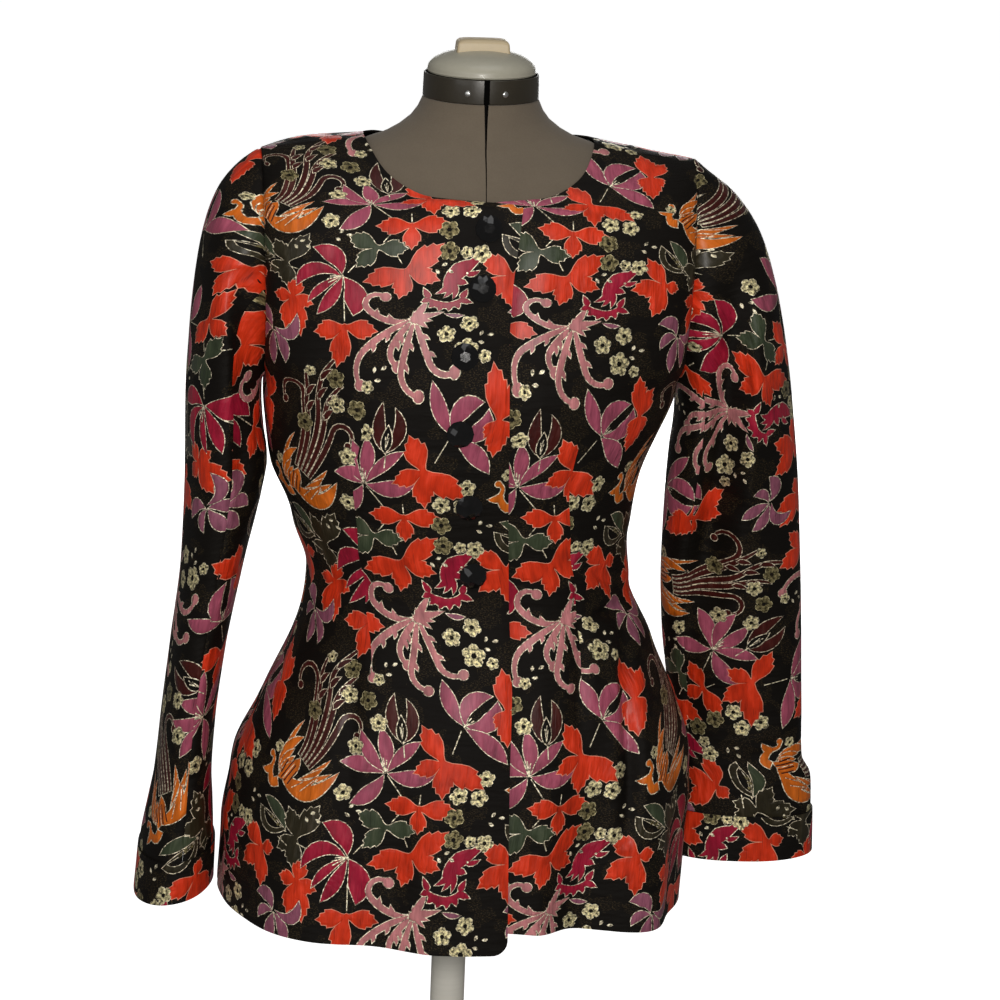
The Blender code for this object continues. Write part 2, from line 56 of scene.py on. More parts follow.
WALL = 0.0022
CLOTH = 0.0016
LAP_CLEARANCE = 0.0013
LAP_EASE_AT_NECK = 0.0016
UNDERLAP = 0.018
LAP_RAMP_FROM = 0.004
LAP_RAMP = 0.028
LAP_FADE = {"right": 0.055, "left": 0.012}
LAP_EASE_FROM_Z = 0.825
LAP_EASE_RISE = 0.030
HEM_Z = 0.207
HEM_FLARE = 0.11
HEM_HALF_WIDTH = 0.2155
HEM_ROUNDNESS = 2.35
HEM_MIDDLE_Z = {"right": 0.2015, "left": 0.2230}
NECK_FRONT_Z = 0.862
CUFF_HEIGHT = 0.043
CUFF_OUT = 0.0018
BUTTON_RADIUS = 0.0122
BUTTON_HEIGHT = 0.0066
NECK_RADIUS = 0.0511
BAND_Z = (0.9443, 0.9655)
CAP_Z = (0.9658, 0.9868)
CAP_RIM = 0.0478
GRIP_SIZE = (0.0475, 0.024, 0.0087)
POST_RADIUS = 0.016
BASE_RADIUS = 0.165
BASE_THICKNESS = 0.018

# Body sections from the middle or the neckline to the side or the armhole:
# in_x, in_y, in_z, out_x, out_y, out_z, roundness, grid rows up to the next one
FRONT_LOWER = (
    (0, -0.166, 0.270, 0.2155, 0, 0.270, 2.30, 3),
    (0, -0.157, 0.335, 0.2115, 0, 0.335, 2.25, 2),
    (0, -0.145, 0.395, 0.1900, 0, 0.395, 2.15, 2),
    (0, -0.130, 0.450, 0.1655, 0, 0.450, 2.20, 3),
    (0, -0.116, 0.512, 0.1470, 0, 0.512, 2.25, 3),
    (0, -0.121, 0.570, 0.1555, 0, 0.570, 2.30, 3),
    (0, -0.131, 0.645, 0.1755, 0, 0.645, 2.30, 2),
    (0, -0.133, 0.690, 0.1860, 0, 0.690, 2.30, 2),
)
FRONT_UPPER = (
    (0, -0.1275, 0.735, 0.1872, -0.0420, 0.718, 2.25, 3),
    (0, -0.1125, 0.797, 0.1890, -0.0580, 0.7915, 2.15, 3),
    (0, -0.0935, NECK_FRONT_Z, 0.1908, -0.0500, 0.846, 2.05, 2),
    (0.055, -0.0800, 0.8695, 0.1914, -0.0375, 0.868, 2.0, 2),
    (0.0865, -0.0560, 0.8860, 0.1918, -0.0220, 0.8845, 2.0, 2),
    (0.0985, -0.0270, 0.9020, 0.1920, -0.0100, 0.8912, 2.0, 1),
    (0.1018, -0.0100, 0.9075, 0.1920, -0.0030, 0.8927, 2.0, 1),
    (0.1025, 0.0040, 0.9082, 0.1920, 0.0040, 0.8930, 2.0, 0),
)
BACK = (
    (0, 0.168, HEM_Z, 0.2155, 0, HEM_Z, 2.35, 2),
    (0, 0.164, 0.270, 0.2155, 0, 0.270, 2.30, 3),
    (0, 0.155, 0.335, 0.2115, 0, 0.335, 2.25, 2),
    (0, 0.141, 0.395, 0.1900, 0, 0.395, 2.15, 2),
    (0, 0.120, 0.450, 0.1655, 0, 0.450, 2.20, 3),
    (0, 0.101, 0.512, 0.1470, 0, 0.512, 2.25, 3),
    (0, 0.103, 0.570, 0.1555, 0, 0.570, 2.30, 3),
    (0, 0.114, 0.645, 0.1755, 0, 0.645, 2.35, 2),
    (0, 0.121, 0.690, 0.1860, 0, 0.690, 2.40, 2),
    (0, 0.1255, 0.735, 0.1872, 0.0440, 0.718, 2.40, 3),
    (0, 0.1220, 0.800, 0.1890, 0.0620, 0.7915, 2.30, 2),
    (0, 0.1070, 0.853, 0.1908, 0.0535, 0.846, 2.15, 1),
    (0, 0.0930, 0.880, 0.1914, 0.0410, 0.868, 2.05, 1),
    (0, 0.0830, 0.8935, 0.1918, 0.0260, 0.8845, 2.0, 2),
    (0.062, 0.0680, 0.8990, 0.1920, 0.0180, 0.8892, 2.0, 1),
    (0.0920, 0.0380, 0.9060, 0.1920, 0.0110, 0.8916, 2.0, 1),
    (0.1018, 0.0180, 0.9077, 0.1920, 0.0075, 0.8927, 2.0, 1),
    (0.1025, 0.0040, 0.9082, 0.1920, 0.0040, 0.8930, 2.0, 0),
)
# Flutes of the skirt: share of the way to the side, half width, push at the hem
FLUTE_TOP_Z = 0.500
FLUTES = {
    "front_right": ((0.38, 0.26, -0.012), (0.74, 0.20, 0.005)),
    "front_left": ((0.48, 0.19, -0.017), (0.76, 0.16, 0.016)),
    "back_right": ((0.34, 0.20, 0.009), (0.64, 0.18, -0.010)),
    "back_left": ((0.30, 0.18, 0.010), (0.60, 0.20, -0.011)),
}
# Sideways move of the worn body by height
SWAY_Z = (0.195, 0.266, 0.320, 0.380, 0.455, 0.512, 0.560, 0.615, 0.690)
SWAY_MOVE = (-0.0035, -0.0010, 0.0040, 0.0100, 0.0110, 0.0035, -0.0045, -0.0095, 0.0)
# How far the right sleeve and the body beside it each move together under the arm, by height
LEAN_Z = (0.570, 0.585, 0.597, 0.610, 0.620, 0.630, 0.640, 0.650, 0.660, 0.670, 0.680, 0.690)
LEAN_MOVE = (0.0, 0.0007, 0.0018, 0.0028, 0.0022, 0.0018, 0.0018, 0.0023, 0.0026, 0.0024, 0.0016, 0.0)
LEAN_FROM_X = {"sleeve": -0.228, "body": -0.150}
LEAN_FADE = 0.022
# The lap's edge as worn, by height
LAP_EDGE_Z = (0.195, 0.285, 0.360, 0.433, 0.510, 0.607, 0.700, 0.755, 0.800, 0.862)
LAP_EDGE_X = (0.0352, 0.0335, 0.0330, 0.0340, 0.0304, 0.0249, 0.0213, 0.0202, 0.0232, 0.0310)
# Rise of the padded shoulders
PAD_RISE = {"right": 0.0045, "left": -0.0010}
PAD_PLACE = 0.6
PAD_FROM_Z = 0.855
PAD_FADE = 0.035

# Sleeve rings from the armhole down: out_x, out_z, in_x, in_z, mid_y, half_depth, turn in degrees,
# roundness, grid rows up to the next one. The first ring tucks under the edge of the armhole.
SLEEVE_RINGS = {
    "left": (
        (0.1900, 0.8900, 0.1850, 0.6905, 0.003, 0.0570, 0, 2.0, 1),
        (0.1934, 0.8928, 0.1874, 0.6885, 0.003, 0.0600, 0, 2.0, 1),
        (0.2060, 0.8830, 0.1888, 0.6835, 0.003, 0.0640, 0, 2.0, 1),
        (0.2320, 0.8630, 0.1895, 0.6770, 0.004, 0.0675, 0, 2.0, 1),
        (0.2570, 0.8290, 0.1900, 0.6690, 0.005, 0.0695, 0, 2.0, 1),
        (0.2730, 0.7850, 0.1900, 0.6590, 0.006, 0.0695, 0, 2.0, 1),
        (0.2860, 0.7300, 0.1895, 0.6450, 0.008, 0.0670, 0, 2.0, 2),
        (0.2975, 0.6700, 0.1875, 0.6230, 0.012, 0.0610, 0, 2.0, 2),
        (0.3075, 0.6050, 0.1870, 0.5880, 0.018, 0.0550, 4, 2.0, 2),
        (0.3165, 0.5200, 0.1880, 0.5150, 0.028, 0.0470, 9, 2.05, 2),
        (0.3255, 0.4400, 0.1940, 0.4400, 0.042, 0.0405, 15, 2.1, 2),
        (0.3330, 0.3700, 0.2050, 0.3700, 0.056, 0.0370, 19, 2.1, 2),
        (0.3370, 0.3160, 0.2095, 0.3160, 0.060, 0.0360, 18, 2.15, 1),
        (0.3465, 0.2960, 0.2110, 0.2950, 0.061, 0.0370, 16, 2.2, 1),
        (0.3490, 0.2650, 0.2130, 0.2620, 0.062, 0.0380, 14, 2.2, 2),
        (0.3510, 0.2200, 0.2140, 0.2130, 0.062, 0.0380, 12, 2.2, 0),
    ),
    "right": (
        (0.1900, 0.8906, 0.1850, 0.6905, 0.003, 0.0570, 0, 2.0, 1),
        (0.1934, 0.8936, 0.1874, 0.6885, 0.003, 0.0600, 0, 2.0, 1),
        (0.2075, 0.8845, 0.1888, 0.6830, 0.003, 0.0645, 0, 2.0, 1),
        (0.2285, 0.8595, 0.1895, 0.6760, 0.003, 0.0690, 0, 2.0, 1),
        (0.2410, 0.8250, 0.1897, 0.6680, 0.003, 0.0725, 0, 2.0, 1),
        (0.2480, 0.7840, 0.1890, 0.6570, 0.003, 0.0750, 0, 2.0, 1),
        (0.2530, 0.7300, 0.1868, 0.6420, 0.003, 0.0765, 0, 2.0, 2),
        (0.2555, 0.6700, 0.1838, 0.6200, 0.003, 0.0760, 0, 2.0, 2),
        (0.2550, 0.6050, 0.1862, 0.5850, 0.003, 0.0735, 0, 2.0, 2),
        (0.2570, 0.5200, 0.2010, 0.5120, 0.004, 0.0690, 0, 2.05, 2),
        (0.2655, 0.4380, 0.2155, 0.4360, 0.005, 0.0660, 0, 2.1, 2),
        (0.2735, 0.3700, 0.2232, 0.3700, 0.005, 0.0640, 0, 2.1, 2),
        (0.2790, 0.3120, 0.2255, 0.3150, 0.005, 0.0630, 0, 2.1, 1),
        (0.2845, 0.2820, 0.2240, 0.2880, 0.004, 0.0630, 0, 2.1, 1),
        (0.2900, 0.2520, 0.2230, 0.2600, 0.003, 0.0640, 0, 2.1, 2),
        (0.2945, 0.2010, 0.2240, 0.2160, 0.002, 0.0650, 0, 2.1, 0),
    ),
}
SLEEVE_FRONT_SEAM = {"left": 128.0, "right": 97.0}
SLEEVE_BACK_SEAM = -72.0

# Dress form: z, half width, reach to the front, reach to the back, roundness
FORM_RINGS = (
    (0.2760, 0.1400, 0.0980, 0.1000, 2.2),
    (0.2860, 0.1540, 0.1100, 0.1120, 2.2),
    (0.3300, 0.1640, 0.1180, 0.1200, 2.2),
    (0.3800, 0.1640, 0.1180, 0.1180, 2.2),
    (0.4400, 0.1520, 0.1120, 0.1060, 2.2),
    (0.5120, 0.1360, 0.1020, 0.0900, 2.2),
    (0.5700, 0.1440, 0.1060, 0.0910, 2.2),
    (0.6300, 0.1570, 0.1160, 0.0990, 2.2),
    (0.6900, 0.1660, 0.1200, 0.1070, 2.2),
    (0.7450, 0.1680, 0.1130, 0.1120, 2.2),
    (0.8000, 0.1690, 0.1000, 0.1110, 2.2),
    (0.8400, 0.1660, 0.0870, 0.1000, 2.1),
    (0.8650, 0.1580, 0.0795, 0.0890, 2.0),
    (0.8800, 0.1440, 0.0740, 0.0810, 1.85),
    (0.8920, 0.1260, 0.0685, 0.0730, 1.7),
    (0.9005, 0.1120, 0.0625, 0.0680, 1.6),
    (0.9056, 0.1014, 0.0600, 0.0655, 1.6),
    (0.9110, 0.0850, 0.0590, 0.0630, 1.65),
    (0.9180, 0.0720, 0.0570, 0.0600, 1.8),
    (0.9260, 0.0617, 0.0545, 0.0570, 1.9),
    (0.9340, 0.0556, 0.0526, 0.0542, 2.0),
    (0.9440, 0.0511, 0.0511, 0.0511, 2.0),
)

# Thread colours of the weave as sRGB hex, and the kind of thread: 0 ground, 1 satin figure, 2 gilt
THREADS = {
    "ground": ("120e0a", 0),
    "lining": ("0b0a0a", 1),
    "red": ("d23516", 1),
    "coral": ("e8977c", 1),
    "crimson": ("9e1834", 1),
    "mauve": ("a24d63", 1),
    "pink": ("c07a7c", 1),
    "dusty": ("8d5165", 1),
    "maroon": ("411410", 1),
    "green": ("3a4330", 1),
    "moss": ("2c2719", 1),
    "orange": ("d2691a", 1),
    "olive": ("7d7350", 2),
    "gold": ("d6ca9c", 2),
    "cream": ("f2e6c6", 2),
    "gilt": ("f4e6c8", 2),
}
GILT_EDGE = 0.66
MM_PER_M = 1000


# Drawing the figures of the weave, in millimetres, x to the right and y up


def area_of(loop):
    x, y = np.asarray(loop).T
    return 0.5 * np.sum(x * np.roll(y, -1) - y * np.roll(x, -1))


def unit(vectors, least=1e-12):
    return vectors / np.maximum(np.linalg.norm(vectors, axis=-1, keepdims=True), least)


def left_of(slopes):
    """Directions square to the left of unit slopes."""
    return np.stack((-slopes[:, 1], slopes[:, 0]), 1)


def widened(loop, by):
    """A closed loop moved outwards."""
    loop = np.asarray(loop, float)
    out = -left_of(unit(np.roll(loop, -1, 0) - loop, 1e-9))
    before = np.roll(out, 1, 0)
    scale = np.maximum(1 + np.sum(out * before, 1, keepdims=True), 0.45)
    return loop + by * (out + before) / scale


def anticlockwise(loop):
    loop = np.asarray(loop, float)
    return loop if area_of(loop) > 0 else loop[::-1]


def petal(base, tip, bend, width, full=0.55, steps=8):
    """A pointed petal from base to tip. bend bows its middle line to the left, as a share of its length."""
    base, tip = np.array(base, float), np.array(tip, float)
    along = tip - base
    left = np.array((-along[1], along[0]))
    t = np.linspace(0, 1, steps + 1)[:, None]
    middle = base + along * t + left * bend * 4 * t * (1 - t)
    side = left_of(unit(along + left * bend * 4 * (1 - 2 * t)))
    bulge = math.log(0.5) / math.log(full)
    half = 0.5 * width * np.sin(np.pi * np.clip(t, 0, 1) ** bulge) ** 0.85
    return anticlockwise(np.concatenate((middle + side * half, (middle - side * half)[-2:0:-1])))


# Half a leaf lobe: share of its length, share of its width
LOBE = (
    (0.0, 0.09), (0.15, 0.19), (0.31, 0.38), (0.46, 0.50),
    (0.66, 0.51), (0.67, 0.36), (0.83, 0.32), (0.85, 0.16),
)


def lobe(base, tip, width):
    """A toothed leaf lobe from base to tip."""
    base, tip = np.array(base, float), np.array(tip, float)
    along = tip - base
    side = np.array((-along[1], along[0])) / np.linalg.norm(along)
    upper = [base + along * t + side * width * h for t, h in LOBE]
    lower = [base + along * t - side * width * h for t, h in LOBE[::-1]]
    return anticlockwise(upper + [tip] + lower)


def smooth_path(points, steps):
    """A rounded line through points."""
    points = np.array(points, float)
    padded = np.concatenate((2 * points[:1] - points[1:2], points, 2 * points[-1:] - points[-2:-1]))
    path = []
    for a, b, c, d in zip(padded, padded[1:], padded[2:], padded[3:]):
        for t in np.arange(steps) / steps:
            squared, cubed = 2 * a - 5 * b + 4 * c - d, 3 * b - a - 3 * c + d
            path.append(0.5 * (2 * b + (c - a) * t + squared * t**2 + cubed * t**3))
    return np.array(path + [points[-1]])


def ribbon(points, widths, steps=3):
    """A band along a rounded line, its width running through widths."""
    path = smooth_path(points, steps)
    side = left_of(unit(np.gradient(path, axis=0)))
    half = 0.5 * np.interp(np.linspace(0, 1, len(path)), np.linspace(0, 1, len(widths)), widths)[:, None]
    return anticlockwise(np.concatenate((path + side * half, (path - side * half)[::-1])))


def disc(centre, radius, sides=10):
    turn = 2 * np.pi * np.arange(sides) / sides
    return np.asarray(centre, float) + radius * np.stack((np.cos(turn), np.sin(turn)), 1)


def figure(parts, colour, edge="gilt", width=GILT_EDGE):
    """Parts that read as one shape: their common edge first, then their fills."""
    edges = [(widened(part, width), edge) for part in parts]
    return edges + [(part, colour) for part in parts]


def polar(direction, length, origin=(0.0, 0.0)):
    """A point some way off in a direction, in degrees."""
    angle = math.radians(direction)
    return np.array((origin[0] + length * math.cos(angle), origin[1] + length * math.sin(angle)))


def leaf(lobes, colour, edge="gilt"):
    """A lobed leaf about its stem's end: direction and length of each lobe."""
    parts = [lobe((0, 0), polar(direction, 1.06 * length), 9 + 0.26 * length) for direction, length in lobes]
    return figure(parts + [disc((0, 0), 2.6, 8)], colour, edge, 0.6)


def flower(petals, colour):
    """Petals about a flower's heart: direction, length, bend, width. Each keeps its own edge."""
    drawing = []
    for direction, length, bend, width in petals:
        drawing += figure([petal(polar(direction, 2), polar(direction, length), bend, width)], colour)
    return drawing


def strokes(lines, colour="gilt", width=1.0):
    """Thin lines of gilt: x and y of both ends."""
    return [(ribbon(((a, b), (c, d)), (width, width), 1), colour) for a, b, c, d in lines]


def blossom(radius, colour, turn=20):
    """A blossom of five round petals with a dark heart."""
    petals = [disc(polar(turn + 72 * k, 0.6 * radius), 0.42 * radius, 7) for k in range(5)]
    edge = "cream" if colour == "gold" else "gold"
    drawing = figure(petals + [disc((0, 0), 0.5 * radius, 8)], colour, edge, 0.4)
    return drawing + [(disc((0, 0), 0.26 * radius, 6), "ground")]


def buds(places, colour="cream"):
    """Small buds: x and y of each, and of the way it points."""
    return [(petal((x, y), (x + dx, y + dy), 0, 3.2, steps=5), colour) for x, y, dx, dy in places]


def plume_line(root, heading, length, bend, curl, steps=16):
    """A line from root that bends a little on its way and curls at its end, in degrees to the left."""
    t = (np.arange(steps) + 0.5) / steps
    turn = np.radians(heading + bend * np.minimum(1, t / 0.6) + curl * np.clip((t - 0.6) / 0.4, 0, 1))
    step = np.stack((np.cos(turn), np.sin(turn)), 1) * length / steps
    return np.concatenate(([root], np.array(root) + np.cumsum(step, 0)))


def plume(root, heading, length, curl, width, colour, thorns=(), bend=0.0):
    """A plume that ends in a ball, with thorns on the side it curls to, at shares of its length."""
    line = plume_line(root, heading, length, bend, curl)
    parts = [ribbon(line, (0.4 * width, 0.9 * width, width, 0.8 * width, 0.6 * width), 1)]
    parts.append(disc(line[-1], 0.85 * width))
    for share in thorns:
        k = int(share * (len(line) - 1))
        ahead = math.degrees(math.atan2(*(line[k + 1] - line[k])[::-1]))
        parts.append(petal(line[k], polar(ahead + math.copysign(50, curl), 8.5, line[k]), 0.1, 4.4, 0.32, 4))
    return figure(parts, colour)


# Tail of the pink bird: heading, bend, length and curl of each plume, places of its thorns
TAIL_PLUMES = (
    (200, -75, 76, -170, (0.25, 0.45)),
    (199, 22, 84, 80, (0.35, 0.5)),
    (221, 18, 52, 90, (0.4, 0.55)),
    (251, 6, 74, 95, (0.35, 0.6)),
    (284, 5, 68, 95, (0.3, 0.5)),
)
# Spikes about the root of its tail: direction, length, width
TAIL_SPIKES = ((62, 25, 7), (30, 14, 5), (16, 26, 6), (-8, 15, 5), (-38, 14, 5), (95, 9, 4))


def pink_bird():
    """A bird seen from behind its head, with five curling tail plumes. Its head is at the origin."""
    root, middle = (-40, -46), (-13, -13)

    def wing_feather(heel, tip, length, bend=0.0):
        return petal(polar(heel, 17, middle), polar(tip, length, middle), bend, 6, 0.35, 4)

    drawing = []
    for heading, bend, length, curl, thorns in TAIL_PLUMES:
        drawing += plume(root, heading, length, curl, 5.6, "pink", thorns, bend)
    spikes = [
        petal(polar(180 + direction, 5, root), polar(direction, length, root), 0, width, 0.4, 5)
        for direction, length, width in TAIL_SPIKES
    ]
    drawing += figure(spikes, "pink")
    drawing += figure([petal((-14, -41), (2, -44), -0.08, 4.5)], "dusty", width=0.7)
    wing = [ribbon([polar(d, 18, middle) for d in range(215, 330, 16)], (3, 8, 7, 6, 3), 1)]
    wing += [wing_feather(d, d, 25, 0.1) for d in range(212, 320, 21)]
    wing += [wing_feather(215, 173, 19), wing_feather(320, 360, 19), wing_feather(318, 325, 28)]
    drawing += figure(wing, "crimson")
    head = [petal((-15, -10), (17, 14), 0.10, 14, 0.50), petal((2, 6), (22, 20), 0.06, 5, 0.4, 5)]
    head += [petal((-7, -4), polar(d, 20, (-7, -4)), 0.12, 6, 0.35, 5) for d in (222, 246, 270)]
    head += [petal((4, 2), (17, 5), -0.1, 5, 0.4, 4), petal((-10, -6), (6, -7), 0.1, 7, 0.6, 5)]
    head += [petal((-6, 4), (-2, 13), 0.1, 5, 0.4, 4)]
    drawing += figure(head, "crimson")
    return drawing + [(disc((6, 3), 1.2, 6), "cream")]


# Tall plumes of the orange bird: length, bend, curl
TALL_PLUMES = ((118, 32, 215), (96, 34, -15), (124, 34, -55), (100, 30, -45), (92, 24, -215))


def orange_bird():
    """A bird with a raised wing and tall striped plumes, about the middle of its body."""
    drawing = []
    for k, (length, bend, curl) in enumerate(TALL_PLUMES):
        root = (2 + 3.5 * k, 24 - 2.5 * k)
        line = plume_line(root, 62 - 4 * k, length, bend, curl, 20)
        drawing += figure([ribbon(line, (2.5, 4.5, 5, 4.5, 4, 2), 1)], "maroon")
        if abs(curl) > 100:
            tip = [disc(line[-1], 3.4)]
        else:
            tip = [petal(line[j - 1], polar(30, 11, line[j]), 0.1, 5, 0.35, 4) for j in (13, 16)]
        drawing += figure(tip, "maroon")
    shoulder, rump = (-15, 3), (4, 0)
    wing = ((70, 55, 0.12, 4), (62, 42, 0.20, 9), (66, 27, 0.12, 6), (56, 22, 0.05, 6))
    for direction, length, bend, width in wing:
        feather = petal(shoulder, polar(direction, length, shoulder), bend, width, 0.5, 7)
        drawing += figure([feather], "orange", width=0.8)
    for direction, length, width in ((36, 42, 5), (30, 32, 6), (18, 38, 5), (12, 24, 6)):
        feather = petal(rump, polar(direction, length, rump), -0.06, width, 0.45, 6)
        drawing += figure([feather], "orange", width=0.8)
    belly = [petal((-16, 10), (46, 14), -0.34, 14, 0.50, 12), petal((-14, 8), (28, 9), -0.28, 9, 0.5, 9)]
    drawing += figure(belly + [petal((-16, 0), (4, 21), -0.1, 13, 0.5)], "orange", width=0.8)
    drawing += strokes(((-12, 0, -2, 18), (-8, -2, 1, 14), (-4, -4, 3, 9), (-13, 5, -8, 17)), "maroon", 1.3)
    drawing += strokes(((1, -6, 12, 1), (10, -8, 24, 4), (-10, -1, -1, 15)), "gilt", 0.8)
    neck = [ribbon(((-15, -4), (-22, -6), (-26, 0), (-28, 8)), (8, 8, 6, 5), 3)]
    neck += [petal((-24, 6), (-38, 3), 0.1, 7, 0.4, 5)]
    neck += [ribbon(((-27, 6), (-25, 13), (-28, 18)), (4, 3, 3), 3), disc((-29.5, 18), 2.8)]
    return drawing + figure(neck, "orange", width=0.8)


# Petals of the flowers: direction, length, bend, width
MAUVE_LILY = (
    (168, 43, -0.08, 15), (226, 41, 0.12, 15), (121, 46, 0.08, 12),
    (97, 43, -0.06, 13), (46, 44, 0.06, 12), (2, 45, -0.10, 16),
)
CRIMSON_LILY = (
    (130, 40, -0.20, 17), (196, 44, -0.33, 14), (222, 44, -0.08, 8), (240, 48, 0.05, 12), (280, 44, 0.15, 20),
)
PINWHEEL = (
    (152, 26, -0.30, 13), (208, 22, -0.25, 9), (262, 32, -0.06, 12), (292, 31, 0.15, 11), (28, 30, -0.42, 11),
)
LAP_LILY = ((114, 47, 0.05, 13), (48, 38, 0.30, 15), (38, 38, -0.30, 17), (318, 52, 0.06, 15))


def lily(petals, colour, stamens):
    """A flower with a few gilt stamens: direction and length of each."""
    return flower(petals, colour) + strokes([(0, 0, *polar(d, length)) for d, length in stamens], width=1.1)


def tulip_bud():
    """A closed bud on a stem, about its base."""
    drawing = strokes(((0, 0, 1, -14),), "cream")
    drawing += figure([petal((0, 0), polar(100, 46), 0.13, 11, 0.48)], "maroon")
    drawing += figure([petal((0, 0), polar(86, 41), -0.17, 11, 0.46)], "maroon")
    drawing += figure([petal((-1, 0), (-2, 25), 0, 9, 0.42)], "ground", "gilt", 0.8)
    return drawing + strokes(((-1, 3, -3, 15), (-1, 3, 0, 14), (-2, 8, -1, 18)), "gilt", 0.8)


def seed_pod():
    """An open pod: two leaves about a row of seeds."""
    drawing = figure([petal((18, -4), (-14, 13), -0.12, 12)], "green")
    drawing += figure([petal((18, -4), (-18, 2), 0.16, 16)], "moss")
    drawing += figure([petal((13, -4), (-12, 1), 0.16, 7)], "ground", "gilt", 0.5)
    return drawing + buds(((2, -3, 4, 4), (7, -5, 4, 3), (-3, -2, 4, 3)), "olive")


FIGURES = {
    "pink_bird": pink_bird(),
    "orange_bird": orange_bird(),
    "mauve_lily": lily(MAUVE_LILY, "mauve", ((115, 14), (102, 15), (90, 13))),
    "crimson_lily": lily(CRIMSON_LILY, "crimson", ((210, 16), (196, 15), (184, 12))),
    "lap_lily": lily(LAP_LILY, "mauve", ((52, 11), (34, 11))),
    "pinwheel": flower(PINWHEEL, "dusty"),
    "tulip_bud": tulip_bud(),
    "seed_pod": seed_pod(),
    "trefoil": leaf(((150, 27), (355, 25), (226, 25)), "green"),
    "dark_trefoil": leaf(((113, 26), (55, 36), (215, 21), (270, 26)), "moss"),
    "red_three": leaf(((176, 29), (0, 30), (268, 22)), "red", "coral"),
    "red_four": leaf(((37, 38), (340, 28), (256, 28), (196, 37)), "red", "coral"),
    "red_five": leaf(((120, 36), (205, 27), (274, 33), (326, 43)), "red", "coral"),
    "red_droop": leaf(((188, 26), (350, 27), (256, 34)), "red", "coral"),
    "red_hang": leaf(((170, 17), (254, 30), (280, 35), (340, 19), (72, 20)), "red", "coral"),
    "red_maple": leaf(((145, 30), (216, 33), (270, 34), (10, 14)), "red", "coral"),
    "red_tall": leaf(((98, 36), (58, 27), (270, 32), (235, 18), (305, 18)), "red", "coral"),
    "blossom": blossom(8.0, "gold"),
    "dull_blossom": blossom(8.6, "olive", 50),
    "small_blossom": blossom(5.4, "gold", 35),
    "large_blossom": blossom(10.4, "gold", 10),
    "bud_spray": buds(((0, 0, 5, 2), (-5, -3, 3, -5), (5, -4, 5, -3))),
}

# One repeat of the weave in millimetres: its size, the ends of the stems, then figure, x, y, turn in degrees
REPEAT = (235.0, 272.0)
STEMS = (
    (-73, 80, -56, 58), (-66, 36, -54, 50), (-84, 22, -97, 6), (-41, 55, -41, 64), (-56, 26, -50, 14),
    (-101, -22, -101, -46), (-150, 12, -138, 8), (-8, -146, -16, -168), (60, 22, 72, 20), (-160, 8, -172, 14),
)
REPEAT_FIGURES = (
    ("orange_bird", 72, 66, 0),
    ("mauve_lily", -75, 82, 0),
    ("seed_pod", 54, 30, -14),
    ("dark_trefoil", 83, 17, 0),
    ("red_hang", 87, -22, 0),
    ("red_maple", 45, 0, 0),
    ("pinwheel", 64, -54, 0),
    ("crimson_lily", -101, 3, 0),
    ("trefoil", -71, 31, 0),
    ("red_three", -41, 51, 0),
    ("red_four", -46, 7, 0),
    ("red_droop", -101, -51, 0),
    ("tulip_bud", -60, -160, 0),
    ("red_five", -24, -176, 0),
    ("lap_lily", -6, -143, 0),
    ("red_tall", 33, -128, 0),
    ("pink_bird", 0, 0, 0),
    ("blossom", 15, 80, 0),
    ("blossom", -7, 64, 20),
    ("blossom", 11, 62, 50),
    ("dull_blossom", -9, 44, 0),
    ("dull_blossom", -9, 24, 30),
    ("small_blossom", 6, 22, 0),
    ("blossom", 19, 20, 40),
    ("bud_spray", -16, 11, 0),
    ("bud_spray", 24, 44, 30),
    ("blossom", -13, -62, 0),
    ("blossom", 7, -53, 30),
    ("bud_spray", 16, -66, 40),
    ("large_blossom", 4, -78, 0),
    ("small_blossom", 20, -85, 0),
    ("blossom", -111, 62, 10),
    ("bud_spray", -104, 48, 20),
    ("blossom", -111, -120, 15),
    ("dull_blossom", -92, -123, 0),
    ("dull_blossom", -111, -97, 50),
    ("small_blossom", -82, -103, 20),
    ("bud_spray", -76, -92, 60),
    ("blossom", -82, -143, 0),
    ("blossom", -104, -166, 0),
    ("dull_blossom", 88, -140, 20),
    ("small_blossom", 50, 92, 0),
    ("bud_spray", 96, 40, 0),
    ("small_blossom", 100, -90, 0),
)


def turn_matrix(angle):
    """Turns rows of flat points anticlockwise, in radians."""
    c, s = math.cos(angle), math.sin(angle)
    return np.array(((c, s), (-s, c)))


def placed(pieces, x, y, turn):
    spin = turn_matrix(math.radians(turn))
    return [(loop @ spin + (x, y), colour) for loop, colour in pieces]


# The figures of one repeat: centre, and loops with their dyes
WEAVE = [
    (np.array(((a + c) / 2, (b + d) / 2)), strokes(((a, b, c, d),), "cream", 0.9))
    for a, b, c, d in STEMS
]
WEAVE += [(np.array((x, y)), placed(FIGURES[name], x, y, turn)) for name, x, y, turn in REPEAT_FIGURES]
FIGURE_REACH = 0.14
REPEATS_BEYOND = 0.5

# Where the front's figures run on over the crown of a sleeve
CROWN_Z = (0.765, 0.886)
CARRIED_FROM = 0.09
CARRIED_DEPTH = 0.030
CROWN_OVERLAP = 0.012
LARGE_FIGURE = 2e-4
FOLD_FADE = 0.10


